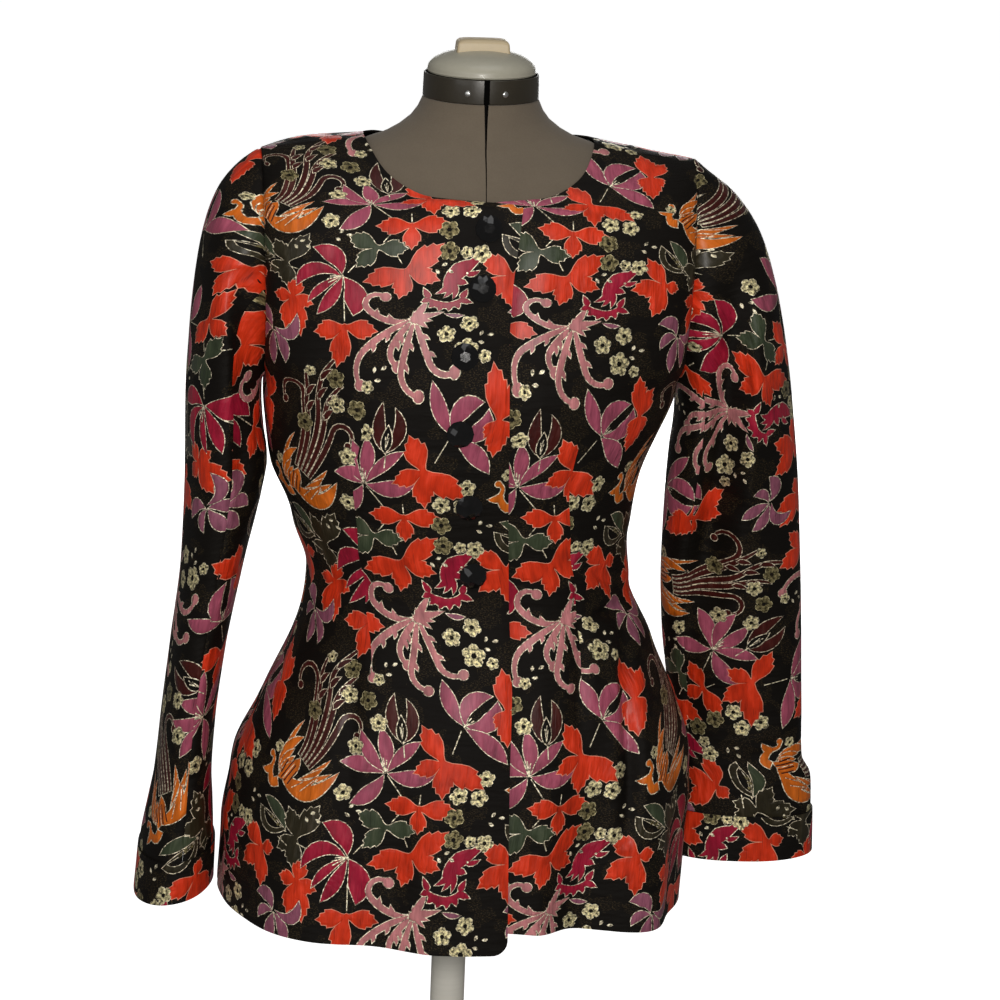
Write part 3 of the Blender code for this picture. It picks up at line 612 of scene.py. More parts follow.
def weave_over(low, high, shift, turn):
    """The repeat laid over a flat box in metres, turned by some degrees, its first bird at shift."""
    spin = turn_matrix(math.radians(turn))
    reach = np.linalg.norm(np.subtract(high, low)) + REPEATS_BEYOND
    steps = [int(reach * MM_PER_M / size) + 2 for size in REPEAT]
    laid = []
    for i in range(-steps[0], steps[0] + 1):
        for j in range(-steps[1], steps[1] + 1):
            corner = np.array((i * REPEAT[0], j * REPEAT[1]))
            for centre, pieces in WEAVE:
                middle = (centre + corner) @ spin / MM_PER_M + shift
                if np.all(middle > low - FIGURE_REACH) and np.all(middle < high + FIGURE_REACH):
                    loops = [((loop + corner) @ spin / MM_PER_M + shift, dye) for loop, dye in pieces]
                    laid.append((middle, loops))
    return laid


def moved_weave(weave, move):
    """A weave whose centres and loops are put through a move of points."""
    return [(move(centre), [(move(loop), dye) for loop, dye in pieces]) for centre, pieces in weave]


def eased(weave, level, above=1.0, below=1.0):
    """The weave with its lengths above and below a level eased to a share of what they are."""

    def settled(points):
        off = points[..., 1] - level
        return np.stack((points[..., 0], level + off * np.where(off > 0, above, below)), -1)

    return moved_weave(weave, settled)


def taken_in(weave, level, by):
    """The weave above a level moved across by as much cloth as a fold takes up."""

    def drawn_across(points):
        move = by * smooth_step((points[..., 1] - level) / FOLD_FADE)
        return points + np.stack((move, np.zeros(points.shape[:-1])), -1)

    return moved_weave(weave, drawn_across)


def turned_figures(weave, low, turn):
    """Figures beyond a corner of the cut, each turned about its own middle by some degrees."""
    spin = turn_matrix(math.radians(turn))
    laid = []
    for centre, pieces in weave:
        if np.all(centre > low):
            pieces = [((loop - centre) @ spin + centre, dye) for loop, dye in pieces]
        laid.append((centre, pieces))
    return laid


def over_shoulder(front, sleeve, front_weave, sleeve_weave, clear, below):
    """The sleeve's figures, with those of the front running on over its crown, its own kept clear of them."""
    heights = front.points[:, -1, 2]
    rows = np.where((heights > CROWN_Z[0]) & (heights < CROWN_Z[1]))[0][::4]
    edge, flat = front.points[rows, -1], front.flat[rows, -1]
    crown, rim = sleeve.points[sleeve.armhole], sleeve.flat[sleeve.armhole]
    match = rim[[np.argmin(np.sum((crown - point) ** 2, -1)) for point in edge]]
    middle, onto = flat.mean(0), match.mean(0)
    a, b = flat - middle, match - onto
    spin = turn_matrix(math.atan2(np.sum(a[:, 0] * b[:, 1] - a[:, 1] * b[:, 0]), np.sum(a * b)))
    front_side = np.sign(match[:, 0].mean() - rim[:, 0].mean())
    rim = rim[np.argsort(rim[:, 0])]

    def carried(points):
        return (points - middle) @ spin + onto

    def depth(point):
        """How far below the armhole a point of the sleeve's cut lies, on its front half."""
        off = np.interp(point[0], rim[:, 0], rim[:, 1]) - point[1]
        return off if (point[0] - rim[:, 0].mean()) * front_side > -CROWN_OVERLAP else 1.0

    def runs_on(centre):
        near = np.min(np.linalg.norm(flat - centre, axis=1)) < CARRIED_FROM
        return near and depth(carried(centre)) < CARRIED_DEPTH

    def is_large(pieces):
        return sum(abs(area_of(loop)) for loop, _ in pieces) > LARGE_FIGURE

    brought = moved_weave([(centre, pieces) for centre, pieces in front_weave if runs_on(centre)], carried)
    large = [centre for centre, pieces in brought if is_large(pieces)]
    kept = [
        (centre, pieces)
        for centre, pieces in sleeve_weave
        if depth(centre) > below and all(np.linalg.norm(centre - other) > clear for other in large)
    ]
    return kept + brought


# The worn form


def smooth_step(value):
    value = np.clip(value, 0, 1)
    return value * value * (3 - 2 * value)


def bump(value):
    """1 at 0, falling smoothly to 0 at -1 and 1."""
    return np.where(np.abs(value) < 1, 0.5 * (1 + np.cos(np.pi * np.clip(value, -1, 1))), 0)


def table_curve(table):
    """Each column of a table as a curve over its grid rows, without overshoot."""
    values = np.array(table, float)
    places = np.concatenate(([0.0], np.cumsum(values[:-1, -1])))
    rates = np.diff(values, axis=0) / np.diff(places)[:, None]
    before, after = rates[:-1], rates[1:]
    agree = before * after > 0
    inner = np.where(agree, 2 * before * after / np.where(agree, before + after, 1.0), 0.0)
    slopes = np.concatenate((rates[:1], inner, rates[-1:]))

    def at(row):
        row = np.asarray(row, float)
        k = np.clip(np.searchsorted(places, row, side="right") - 1, 0, len(places) - 2)
        h = (places[k + 1] - places[k])[..., None]
        u = (row - places[k])[..., None] / h
        rise = u * u * (3 - 2 * u)
        bends = u * (1 - u) ** 2 * slopes[k] + u * u * (u - 1) * slopes[k + 1]
        return np.moveaxis(values[k] * (1 - rise) + values[k + 1] * rise + h * bends, -1, 0)

    return at, places[-1]


def sway_at(z):
    """Sideways move of the body at a height."""
    k = np.clip(np.searchsorted(SWAY_Z, z, side="right") - 1, 0, len(SWAY_Z) - 2)
    low, high = np.take(SWAY_Z, k), np.take(SWAY_Z, k + 1)
    rise = smooth_step((z - low) / (high - low))
    return np.take(SWAY_MOVE, k) * (1 - rise) + np.take(SWAY_MOVE, k + 1) * rise


def lap_at(z):
    """How far the lap reaches past the front's middle."""
    return np.interp(z, LAP_EDGE_Z, LAP_EDGE_X) - sway_at(np.asarray(z))


def hem_section(middle_z):
    """The lowest section of a front, flared on from the one above it."""
    _, above_y, above_z = FRONT_LOWER[0][:3]
    middle_y = above_y - HEM_FLARE * (above_z - middle_z)
    return (0, middle_y, middle_z, HEM_HALF_WIDTH, 0, HEM_Z, HEM_ROUNDNESS, 2)


def body_form(name):
    """The worn form of one half of the body: points of (s, row), and the middle's s and x of rows."""
    half, side = name.split("_")
    front = (hem_section(HEM_MIDDLE_Z[side]), *FRONT_LOWER, *FRONT_UPPER)
    at, last = table_curve(BACK if half == "back" else front)

    def start_of(row):
        in_x, _, in_z, out_x = at(row)[:4]
        if half == "back":
            return np.zeros_like(in_x)
        reach = lap_at(in_z) if side == "right" else UNDERLAP
        return np.arcsin(-np.minimum(0.9, (1 - smooth_step(in_x / LAP_FADE[side])) * reach / out_x))

    def place(s, row):
        in_x, in_y, in_z, out_x, out_y, out_z, p, _ = at(row)
        start = start_of(row)
        share = np.sin(start + (np.pi / 2 - start) * s)
        width, depth = out_x - in_x, in_y - out_y
        thin = np.where(np.abs(depth) < 1e-6, 1e-6, depth)
        inside = np.maximum(0, 1 - np.abs(share) ** p) ** (1 / p)
        x = in_x + width * share
        y = out_y + depth * inside
        z = in_z + (out_z - in_z) * np.maximum(0, share)
        fade = smooth_step((FLUTE_TOP_Z - in_z) / (FLUTE_TOP_Z - HEM_Z))
        push = fade * sum(move * bump((share - spot) / reach) for spot, reach, move in FLUTES[name])
        if name == "front_left":
            ease = LAP_EASE_AT_NECK * smooth_step((in_z - LAP_EASE_FROM_Z) / LAP_EASE_RISE)
            under = 1 - smooth_step((x - lap_at(in_z) - LAP_RAMP_FROM) / LAP_RAMP)
            push = push - (WALL + LAP_CLEARANCE + ease) * under
        across = np.sign(share) * np.abs(share) ** (p - 1) / width
        forward = inside ** (p - 1) / thin
        size = np.hypot(across, forward)
        x, y = x + push * across / size, y + push * forward / size
        pad = PAD_RISE[side] * bump((share - PAD_PLACE) / PAD_PLACE)
        z = z + pad * smooth_step((out_z - PAD_FROM_Z) / PAD_FADE)
        x = -x if side == "right" else x
        return np.stack((x + sway_at(z), y, z), -1)

    def middle(row):
        start = start_of(row)
        return -start / (np.pi / 2 - start), at(row)[0]

    return place, last, middle


def sleeve_form(side, first, last_angle, push=0.0, first_row=0.0):
    """The worn form of a stretch of a sleeve: points of (s, row), from the armhole down."""
    at, last = table_curve(SLEEVE_RINGS[side])

    def place(s, row):
        out_x, out_z, in_x, in_z, mid_y, half_depth, turn, roundness, _ = at(row + first_row)
        angle = np.radians(first + (last_angle - first) * s)
        half_x, half_z = (out_x - in_x) / 2, (out_z - in_z) / 2
        half = np.hypot(half_x, half_z)
        c, sn = np.cos(angle), np.sin(angle)
        u = (half + push) * np.sign(c) * np.abs(c) ** (2 / roundness)
        v = (half_depth + push) * np.sign(sn) * np.abs(sn) ** (2 / roundness)
        turn = np.radians(turn)
        u, v = u * np.cos(turn) - v * np.sin(turn), u * np.sin(turn) + v * np.cos(turn)
        x = (out_x + in_x) / 2 + half_x / half * u
        z = (out_z + in_z) / 2 + half_z / half * u
        x = -x if side == "right" else x
        return np.stack((x, mid_y - v, z), -1)

    return place, last - first_row


def cuff_first_row(side):
    """Grid row of the sleeve where its cuff begins."""
    at, last = table_curve(SLEEVE_RINGS[side])
    rows = np.arange(0, last, 0.01)
    return rows[np.searchsorted(-at(rows)[1], -(at(last)[1] + CUFF_HEIGHT))]


# Creases of the worn cloth, seen from the front: both ends' x and z, bow to the left, half width, depth
CREASES = {
    "front_right": (
        (-0.150, 0.500, -0.085, 0.520, 0.05, 0.009, -0.0020),
        (-0.152, 0.470, -0.090, 0.468, -0.08, 0.010, -0.0016),
        (-0.106, 0.480, -0.116, 0.300, 0.02, 0.011, -0.0050),
        (-0.060, 0.345, -0.078, 0.220, 0.04, 0.018, -0.0030),
        (-0.150, 0.420, -0.165, 0.280, 0.04, 0.013, -0.0030),
        (-0.165, 0.690, -0.120, 0.760, -0.10, 0.012, -0.0025),
        (-0.120, 0.840, -0.175, 0.760, 0.08, 0.014, -0.0020),
    ),
    "front_left": (
        (0.090, 0.548, 0.150, 0.486, 0.06, 0.008, -0.0042),
        (0.100, 0.520, 0.150, 0.464, 0.05, 0.008, -0.0034),
        (0.085, 0.470, 0.150, 0.440, -0.05, 0.010, -0.0026),
        (0.104, 0.489, 0.144, 0.493, 0.10, 0.0055, -0.0060),
        (0.095, 0.500, 0.098, 0.380, 0.00, 0.009, -0.0045),
        (0.139, 0.485, 0.143, 0.290, 0.02, 0.009, -0.0100),
        (0.165, 0.690, 0.120, 0.750, 0.10, 0.012, -0.0025),
        (0.060, 0.330, 0.080, 0.230, -0.04, 0.016, -0.0022),
    ),
    "back_right": (
        (-0.140, 0.540, -0.020, 0.500, 0.05, 0.011, -0.0024),
        (-0.130, 0.480, -0.030, 0.470, -0.05, 0.010, -0.0018),
        (-0.165, 0.700, -0.080, 0.760, 0.08, 0.013, -0.0024),
    ),
    "back_left": (
        (0.140, 0.535, 0.015, 0.505, -0.05, 0.011, -0.0026),
        (0.135, 0.470, 0.030, 0.478, 0.05, 0.010, -0.0016),
        (0.165, 0.695, 0.090, 0.765, -0.08, 0.013, -0.0022),
    ),
    "sleeve_right": (
        (-0.210, 0.800, -0.209, 0.570, 0.02, 0.013, -0.0120),
        (-0.222, 0.760, -0.220, 0.540, 0.02, 0.005, 0.0022),
        (-0.212, 0.640, -0.205, 0.520, 0.05, 0.008, -0.0040),
        (-0.255, 0.600, -0.205, 0.560, 0.06, 0.010, -0.0022),
        (-0.262, 0.470, -0.215, 0.440, 0.06, 0.011, -0.0020),
        (-0.278, 0.300, -0.228, 0.330, 0.06, 0.011, -0.0026),
    ),
    "sleeve_left": (
        (0.228, 0.810, 0.226, 0.420, 0.00, 0.018, -0.0260),
        (0.247, 0.790, 0.252, 0.560, 0.02, 0.007, 0.0030),
        (0.222, 0.600, 0.218, 0.400, -0.03, 0.011, -0.0070),
        (0.200, 0.680, 0.250, 0.640, -0.06, 0.011, -0.0034),
        (0.205, 0.600, 0.270, 0.560, 0.06, 0.011, -0.0026),
        (0.212, 0.470, 0.225, 0.300, 0.03, 0.010, -0.0036),
        (0.300, 0.430, 0.250, 0.380, 0.08, 0.013, -0.0024),
        (0.320, 0.330, 0.265, 0.310, -0.06, 0.011, -0.0020),
    ),
}


RIPPLE_HEIGHT = 0.00035
# Troughs of the sleeves sink straight back more than to the side
SLEEVE_SINK = (0.2, 1.0, 0.2)
# The cloth turns in at its seams: depth, and reach as a share of the width
SEAM_DEPTH = 0.0007
SEAM_REACH = 0.012
# Where along a front or back the side seam gives way to the armhole
ARMHOLE_FROM = 0.70
ARMHOLE_FADE = 0.04
# The line of a sewn dart
DART_LINE_WIDTH = 0.0045
DART_LINE_DEPTH = 0.0011
DART_RUN_ON = 0.01
DART_FADE = 0.03


def crease_depth(points, creases):
    """Sum of soft troughs with a low ridge on either side, in metres outwards."""
    depth = np.zeros(points.shape[:-1])
    for x0, z0, x1, z1, bow, width, sink in creases:
        along = np.array((x1 - x0, z1 - z0))
        length = np.linalg.norm(along)
        along /= length
        off = points[..., (0, 2)] - (x0, z0)
        t = off @ along / length
        d = off @ np.array((-along[1], along[0])) - bow * length * 4 * t * (1 - t)
        q = d / width
        taper = np.sin(np.pi * np.clip(t, 0, 1)) ** 0.7
        depth += sink * taper * (1 - 0.7 * q * q) * np.exp(-0.7 * q * q)
    return depth


def leaned(point, name):
    """Sideways move that brings the right sleeve and the body near each other under the arm."""
    move = np.interp(point[:, 2], LEAN_Z, LEAN_MOVE)
    if name.startswith("sleeve"):
        move = move * smooth_step((point[:, 0] - LEAN_FROM_X["sleeve"]) / LEAN_FADE)
    else:
        move = -move * smooth_step((LEAN_FROM_X["body"] - point[:, 0]) / LEAN_FADE)
    return move[:, None] * np.array((1.0, 0, 0))


def ripple(flat, seed):
    """The slight unevenness of hanging cloth, in waves of some millimetres."""
    u, v = flat[..., 0] * MM_PER_M, flat[..., 1] * MM_PER_M
    wave = np.sin(u / 17 + seed) * np.sin(v / 41 + 2 * seed) + 0.6 * np.sin(u / 9.5 + v / 31 + 3 * seed)
    return RIPPLE_HEIGHT * wave


def running_length(points, axis):
    """Length along each line of points up to each of them."""
    steps = np.linalg.norm(np.diff(points, axis=axis), axis=-1)
    return np.concatenate((np.zeros_like(np.take(steps, [0], axis)), np.cumsum(steps, axis)), axis)


class Panel:
    """A piece of cloth on its worn form. flat is its cut: u to the right and v up as seen from outside."""

    COLUMNS = 150
    LENGTH_COLUMN = 82
    ROW_LENGTH = 0.002
    NORMAL_STEP = 0.0015

    def __init__(self, name, place, rows, hand, creases, seed, middle=None, dart=None):
        self.name, self.hand, self.creases, self.seed, self.dart = name, hand, creases, seed, dart
        s = np.linspace(0, 1, self.COLUMNS + 1)
        sample = place(np.full(40, 0.5), np.linspace(0, rows, 40))
        count = max(8, int(running_length(sample, 0)[-1] / self.ROW_LENGTH))
        r = np.linspace(0, rows, count + 1)
        grid_s, grid_r = np.meshgrid(s, r)
        self.points = place(grid_s, grid_r)
        self.armhole = int(round(count / rows))
        if middle:
            across = running_length(self.points, 1)
            middle_s, middle_x = middle(r)
            at_middle = np.array([np.interp(x, s, line) for x, line in zip(middle_s, across)])
            u = across - at_middle[:, None] + 1.02 * middle_x[:, None]
            up = running_length(self.points, 0)[:, self.LENGTH_COLUMN]
            v = np.broadcast_to(up[:, None], u.shape)
        else:
            down = running_length(self.points, 0)
            v = down[-1:] - down
            step = np.linalg.norm(np.diff(self.points, axis=1), axis=-1)
            side = np.sqrt(np.maximum(step**2 - np.diff(v, axis=1) ** 2, (0.1 * step) ** 2))
            lower = step[count // 2 :].mean(0)
            share = np.concatenate(([0.0], np.cumsum(lower))) / lower.sum()
            width = side.sum(1)
            width = np.maximum(width, np.minimum(0.92 * width.max(), step.sum(1)))
            u = width[:, None] * (share - share[self.COLUMNS // 2])
        self.flat = np.stack((hand * u, v), -1)
        across = np.gradient(self.points, axis=1)
        along = np.gradient(self.points, axis=0)
        turns = np.gradient(self.flat, axis=1)[..., 0] * np.gradient(self.flat, axis=0)[..., 1]
        self.normals = unit(np.cross(across, along)) * np.sign(np.median(turns))
        self.tree = KDTree(self.flat[..., 0].size)
        for k, (a, b) in enumerate(self.flat.reshape(-1, 2)):
            self.tree.insert((a, b, 0), k)
        self.tree.balance()

    def intake(self, v):
        """Width that the dart takes up at heights of the cut."""
        if not self.dart:
            return np.zeros_like(v)
        _, low, waist, high, width = self.dart
        return width * np.maximum(0, np.minimum((v - low) / (waist - low), (high - v) / (high - waist)))

    def opened(self, flat):
        """The cut with its dart spread open."""
        if not self.dart:
            return flat
        u = self.hand * flat[..., 0]
        u = u + np.where(u > self.dart[0], self.intake(flat[..., 1]), 0)
        return np.stack((self.hand * u, flat[..., 1]), -1)

    def closed(self, flat):
        """The cut with its dart sewn."""
        if not self.dart:
            return flat
        u, place = self.hand * flat[..., 0], self.dart[0]
        u = np.where(u > place, np.maximum(place, u - self.intake(flat[..., 1])), u)
        return np.stack((self.hand * u, flat[..., 1]), -1)

    @staticmethod
    def cell(grid, column, row):
        """Corner values of the grid cells that places lie in, and their shares across and along the cells."""
        rows, columns = grid.shape[:2]
        j, i = np.clip(row.astype(int), 0, rows - 2), np.clip(column.astype(int), 0, columns - 2)
        corners = grid[j, i], grid[j, i + 1], grid[j + 1, i], grid[j + 1, i + 1]
        return *corners, (column - i)[:, None], (row - j)[:, None]

    def find(self, flat, start=None):
        """Grid column and row of points of the sewn cut, from a first guess of them."""
        rows, columns = self.flat.shape[:2]
        if start is None:
            nearest = np.array([self.tree.find((a, b, 0))[1] for a, b in flat])
            start = (nearest % columns).astype(float), (nearest // columns).astype(float)
        column, row = start
        for _ in range(6):
            a, b, c, d, f, g = self.cell(self.flat, column, row)
            error = flat - ((a * (1 - f) + b * f) * (1 - g) + (c * (1 - f) + d * f) * g)
            across = (b - a) * (1 - g) + (d - c) * g
            along = (c - a) * (1 - f) + (d - b) * f
            det = across[:, 0] * along[:, 1] - across[:, 1] * along[:, 0]
            det = np.where(np.abs(det) < 1e-12, 1e-12, det)
            column = column + np.clip((error[:, 0] * along[:, 1] - error[:, 1] * along[:, 0]) / det, -3, 3)
            row = row + np.clip((across[:, 0] * error[:, 1] - across[:, 1] * error[:, 0]) / det, -3, 3)
            column, row = np.clip(column, 0, columns - 1), np.clip(row, 0, rows - 1)
        return column, row

    def sample(self, grid, column, row):
        """Values of a grid at places on it."""
        a, b, c, d, f, g = self.cell(grid, column, row)
        return (a * (1 - f) + b * f) * (1 - g) + (c * (1 - f) + d * f) * g

    def seam_dip(self, column, row):
        """The cloth turns in at its sewn edges, but not along the armhole of a front or back."""
        rows, columns = self.flat.shape[:2]
        from_side = np.minimum(column, columns - 1 - column) / (columns - 1)
        armhole = 0.0
        if self.name.startswith(("front", "back")):
            armhole = smooth_step((row / (rows - 1) - ARMHOLE_FROM) / ARMHOLE_FADE)
        return -SEAM_DEPTH * np.exp(-((from_side / SEAM_REACH) ** 2)) * (1 - armhole)

    def lay(self, flat, start):
        """Where points of the sewn cut lie on the worn form."""
        column, row = self.find(flat, start)
        point = self.sample(self.points, column, row)
        normal = self.sample(self.normals, column, row)
        move = ripple(flat, self.seed) + self.seam_dip(column, row)
        if self.dart:
            place, low, _, high, _ = self.dart
            off = (self.hand * flat[:, 0] - place) / DART_LINE_WIDTH
            fade = smooth_step((flat[:, 1] - low + DART_RUN_ON) / DART_FADE)
            fade = fade * smooth_step((high + DART_RUN_ON - flat[:, 1]) / DART_FADE)
            move = move - DART_LINE_DEPTH * fade * np.exp(-off * off)
        sink = normal * SLEEVE_SINK if self.name.startswith("sleeve") else normal
        worn = point + normal * move[:, None] + sink * crease_depth(point, self.creases)[:, None]
        return worn + leaned(point, self.name) if self.name.endswith("right") else worn

    def worn(self, flat):
        """Points and outward normals of points of the open cut."""
        flat = self.closed(flat)
        start = self.find(flat)
        right, up = np.array((self.NORMAL_STEP, 0)), np.array((0, self.NORMAL_STEP))
        across = self.lay(flat + right, start) - self.lay(flat - right, start)
        along = self.lay(flat + up, start) - self.lay(flat - up, start)
        return self.lay(flat, start), unit(np.cross(across, along))

    def flat_box(self):
        """Low and high corners of the sewn cut."""
        points = self.flat.reshape(-1, 2)
        return points.min(0), points.max(0)

    def outline(self, spacing=0.004, round_corner=None):
        """The edge of the open cut, anticlockwise."""
        grid = self.flat
        sides = (grid[0, :], grid[:, -1], grid[-1, ::-1], grid[::-1, 0])
        loop = []
        for side in sides:
            length = running_length(side, 0)
            count = max(2, int(length[-1] / spacing))
            at = np.linspace(0, length[-1], count + 1)[:-1]
            loop.append(np.stack([np.interp(at, length, side[:, k]) for k in (0, 1)], 1))
        loop = self.opened(np.concatenate(loop))
        if round_corner:
            corner = self.opened(grid[0, 0][None])[0]
            inward = np.array((-np.sign(corner[0] - loop[:, 0].mean()), 1.0))
            centre = corner + inward * round_corner
            off = loop - centre
            outside = np.all(off * inward < 0, axis=1, keepdims=True)
            far = np.maximum(np.linalg.norm(off, axis=1, keepdims=True), round_corner)
            loop = np.where(outside, centre + off * round_corner / far, loop)
        return anticlockwise(loop)

    def dart_loop(self):
        """The edge of the open dart, anticlockwise."""
        place, low, waist, high, _ = self.dart
        v = np.concatenate((np.linspace(low, waist, 20)[:-1], np.linspace(waist, high, 24)))
        u = place + self.intake(v)
        near = np.stack((np.full_like(v, place), v), 1)
        far = np.stack((u, v), 1)[1:-1][::-1]
        loop = np.concatenate((near, far))
        loop[:, 0] *= self.hand
        return anticlockwise(loop)


def inside_loop(points, loop):
    """Which points lie inside a loop."""
    x, y = points[:, 0][:, None], points[:, 1][:, None]
    ax, ay = loop[:, 0][None], loop[:, 1][None]
    bx, by = np.roll(ax, -1, 1), np.roll(ay, -1, 1)
    crosses = (ay > y) != (by > y)
    at = ax + (y - ay) * (bx - ax) / np.where(by == ay, 1e-12, by - ay)
    return np.sum(crosses & (x < at), 1) % 2 == 1


def scattered(loop, spacing):
    """Staggered points inside a loop."""
    low, high = loop.min(0), loop.max(0)
    rows = np.arange(low[1], high[1], spacing * 0.866)
    points = [
        (x + (k % 2) * spacing / 2, y)
        for k, y in enumerate(rows)
        for x in np.arange(low[0], high[0], spacing)
    ]
    points = np.array(points)
    return points[inside_loop(points, widened(loop, -0.25 * spacing))]


def triangulate(loops, spacing):
    """Triangles over the first loop, the rest drawn over it in order.

    Gives points, triangles with the top loop of each, and which points of the loops each point came from.
    """
    extra = scattered(loops[0], spacing)
    coords = [Vector(point) for points in (*loops, extra) for point in points]
    faces, start = [], 0
    for loop in loops:
        faces.append(list(range(start, start + len(loop))))
        start += len(loop)
    points, _, triangles, origin, _, covers = delaunay_2d_cdt(coords, [], faces, 1, 1e-7)
    kept = [(tri, max(cover)) for tri, cover in zip(triangles, covers) if 0 in cover]
    return np.array([tuple(p) for p in points]), kept, origin


def edge_loops(triangles):
    """The open edges of triangles, as closed loops of points."""
    directed = {(t[k], t[(k + 1) % len(t)]) for t in triangles for k in range(len(t))}
    follow = {a: b for a, b in directed if (b, a) not in directed}
    loops = []
    while follow:
        first, here = follow.popitem()
        loop = [first]
        while here != first and here in follow:
            loop.append(here)
            here = follow.pop(here)
        loops.append(loop)
    return sorted(loops, key=len, reverse=True)


def linear(code):
    """Linear colour of an sRGB hex code."""
    channels = [int(code[k : k + 2], 16) / 255 for k in (0, 2, 4)]
    return tuple(c / 12.92 if c <= 0.04045 else ((c + 0.055) / 1.055) ** 2.4 for c in channels)


FIGURED_SPACING = 0.0055
INSIDE_SPACING = 0.006


def cut_figures(panel, drawing, round_corner):
    """The right side of a piece: points of its cut, and triangles with their dyes."""
    outline = panel.outline(round_corner=round_corner)
    loops, dyes = [outline], ["ground"]
    for loop, dye in (piece for _, pieces in drawing for piece in pieces):
        if inside_loop(loop, outline).any():
            loops.append(anticlockwise(loop))
            dyes.append(dye)
    if panel.dart:
        loops.append(panel.dart_loop())
        dyes.append("dart")
    flat, kept, _ = triangulate(loops, FIGURED_SPACING)
    kept = [(tri, dyes[top]) for tri, top in kept if dyes[top] != "dart"]
    used = sorted({k for tri, _ in kept for k in tri})
    number = {k: n for n, k in enumerate(used)}
    return flat[used], [([number[k] for k in tri], dye) for tri, dye in kept]


def raised_points(kept, count):
    """1 at points inside a satin figure, 0 at its edge and off it."""
    puff, owner = np.ones(count), {}
    for tri, dye in kept:
        for k in tri:
            if THREADS[dye][1] != 1 or owner.setdefault(k, dye) != dye:
                puff[k] = 0.0
    return puff


def cloth_piece(panel, drawing, material, round_corner=None):
    """A cut piece sewn on the worn form: figured right side, plain inside and the edge between them."""
    name = panel.name + "_cloth"
    flat, kept = cut_figures(panel, drawing, round_corner)
    edges = [loop for loop in edge_loops([tri for tri, _ in kept]) if len(loop) > 2]
    inner_loops = [anticlockwise(flat[loop]) for loop in edges]
    inner_flat, inner_kept, origin = triangulate(inner_loops, INSIDE_SPACING)
    inner_kept = [tri for tri, top in inner_kept if top == 0]
    same = {source: k for k, sources in enumerate(origin) for source in sources}
    points, normals = panel.worn(flat)
    inner_points, inner_normals = panel.worn(inner_flat)
    total = len(points)
    faces = [tri for tri, _ in kept] + [[total + k for k in reversed(tri)] for tri in inner_kept]
    threads = [THREADS[dye] for _, dye in kept] + [THREADS["lining"]] * len(inner_kept)
    smooth = len(faces)
    start = 0
    for loop in edges:
        order = loop if area_of(flat[loop]) > 0 else loop[::-1]
        twins = {k: total + same[start + n] for n, k in enumerate(order)}
        start += len(loop)
        for a, b in zip(loop, loop[1:] + loop[:1]):
            if twins[a] != twins[b]:
                faces.append([b, a, twins[a], twins[b]])
                threads.append(THREADS["ground"])
    mesh = bpy.data.meshes.new(name)
    mesh.from_pydata(np.concatenate((points, inner_points - inner_normals * CLOTH)).tolist(), [], faces)
    corners = np.array([k for face in faces for k in face])
    uv = mesh.uv_layers.new(name="cut")
    uv.data.foreach_set("uv", np.concatenate((flat, inner_flat))[corners].ravel())
    dye = mesh.attributes.new("dye", "FLOAT_COLOR", "FACE")
    dye.data.foreach_set("color", [c for code, _ in threads for c in (*linear(code), 1.0)])
    thread = mesh.attributes.new("thread", "FLOAT_COLOR", "FACE")
    thread.data.foreach_set("color", [c for _, kind in threads for c in (kind == 1, kind == 2, 0.0, 1.0)])
    puff = mesh.attributes.new("puff", "FLOAT", "POINT")
    puff.data.foreach_set("value", np.concatenate((raised_points(kept, total), np.zeros(len(inner_flat)))))
    mesh.polygons.foreach_set("use_smooth", [k < smooth for k in range(len(faces))])
    corner_normals = np.concatenate((normals, -inner_normals))[corners]
    corner_normals[sum(len(face) for face in faces[:smooth]) :] = 0
    mesh.normals_split_custom_set(corner_normals.tolist())
    mesh.materials.append(material)
    piece = add_piece(name, mesh, "brocade", panel.name)
    area = area_of(flat[edges[0]]) - sum(abs(area_of(flat[loop])) for loop in edges[1:])
    size = tuple(round(float(x), 4) for x in flat.max(0) - flat.min(0))


def add_piece(name, mesh, slot, *nodes):
    """A piece of the part that rides on its body, in place of nodes of the frame."""
    piece = bpy.data.objects.new(name, mesh)
    bpy.context.scene.collection.objects.link(piece)
    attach(piece, "root")
    if nodes:
        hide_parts(*nodes)
    return piece


def mesh_of(name, shape, material):
    """A mesh from a worked shape, which is used up."""
    mesh = bpy.data.meshes.new(name)
    shape.to_mesh(mesh)
    shape.free()
    mesh.materials.append(material)
    return mesh


# Finishes


class Strand:
    """A shader value. Python's operators on it add Math nodes."""

    def __init__(self, finish, socket):
        self.finish, self.socket = finish, socket

    def math(self, operation, *others):
        values = dict(enumerate((self, *others)))
        return self.finish.node("ShaderNodeMath", {"operation": operation}, values)

    def held(self, low, high):
        """The value kept between two others."""
        return self.math("MAXIMUM", low).math("MINIMUM", high)

    def waved(self, length):
        """A sine wave of the value, of a given length."""
        return (self * (2 * math.pi / length)).math("SINE")

    def output(self, number):
        """Another output of the same node."""
        return Strand(self.finish, self.socket.node.outputs[number])

    def __add__(self, other):
        return self.math("ADD", other)

    def __sub__(self, other):
        return self.math("SUBTRACT", other)

    def __rsub__(self, other):
        return self.finish.node("ShaderNodeMath", {"operation": "SUBTRACT"}, {0: other, 1: self})

    def __mul__(self, other):
        return self.math("MULTIPLY", other)

    def __gt__(self, other):
        return self.math("GREATER_THAN", other)

    __radd__ = __add__
    __rmul__ = __mul__


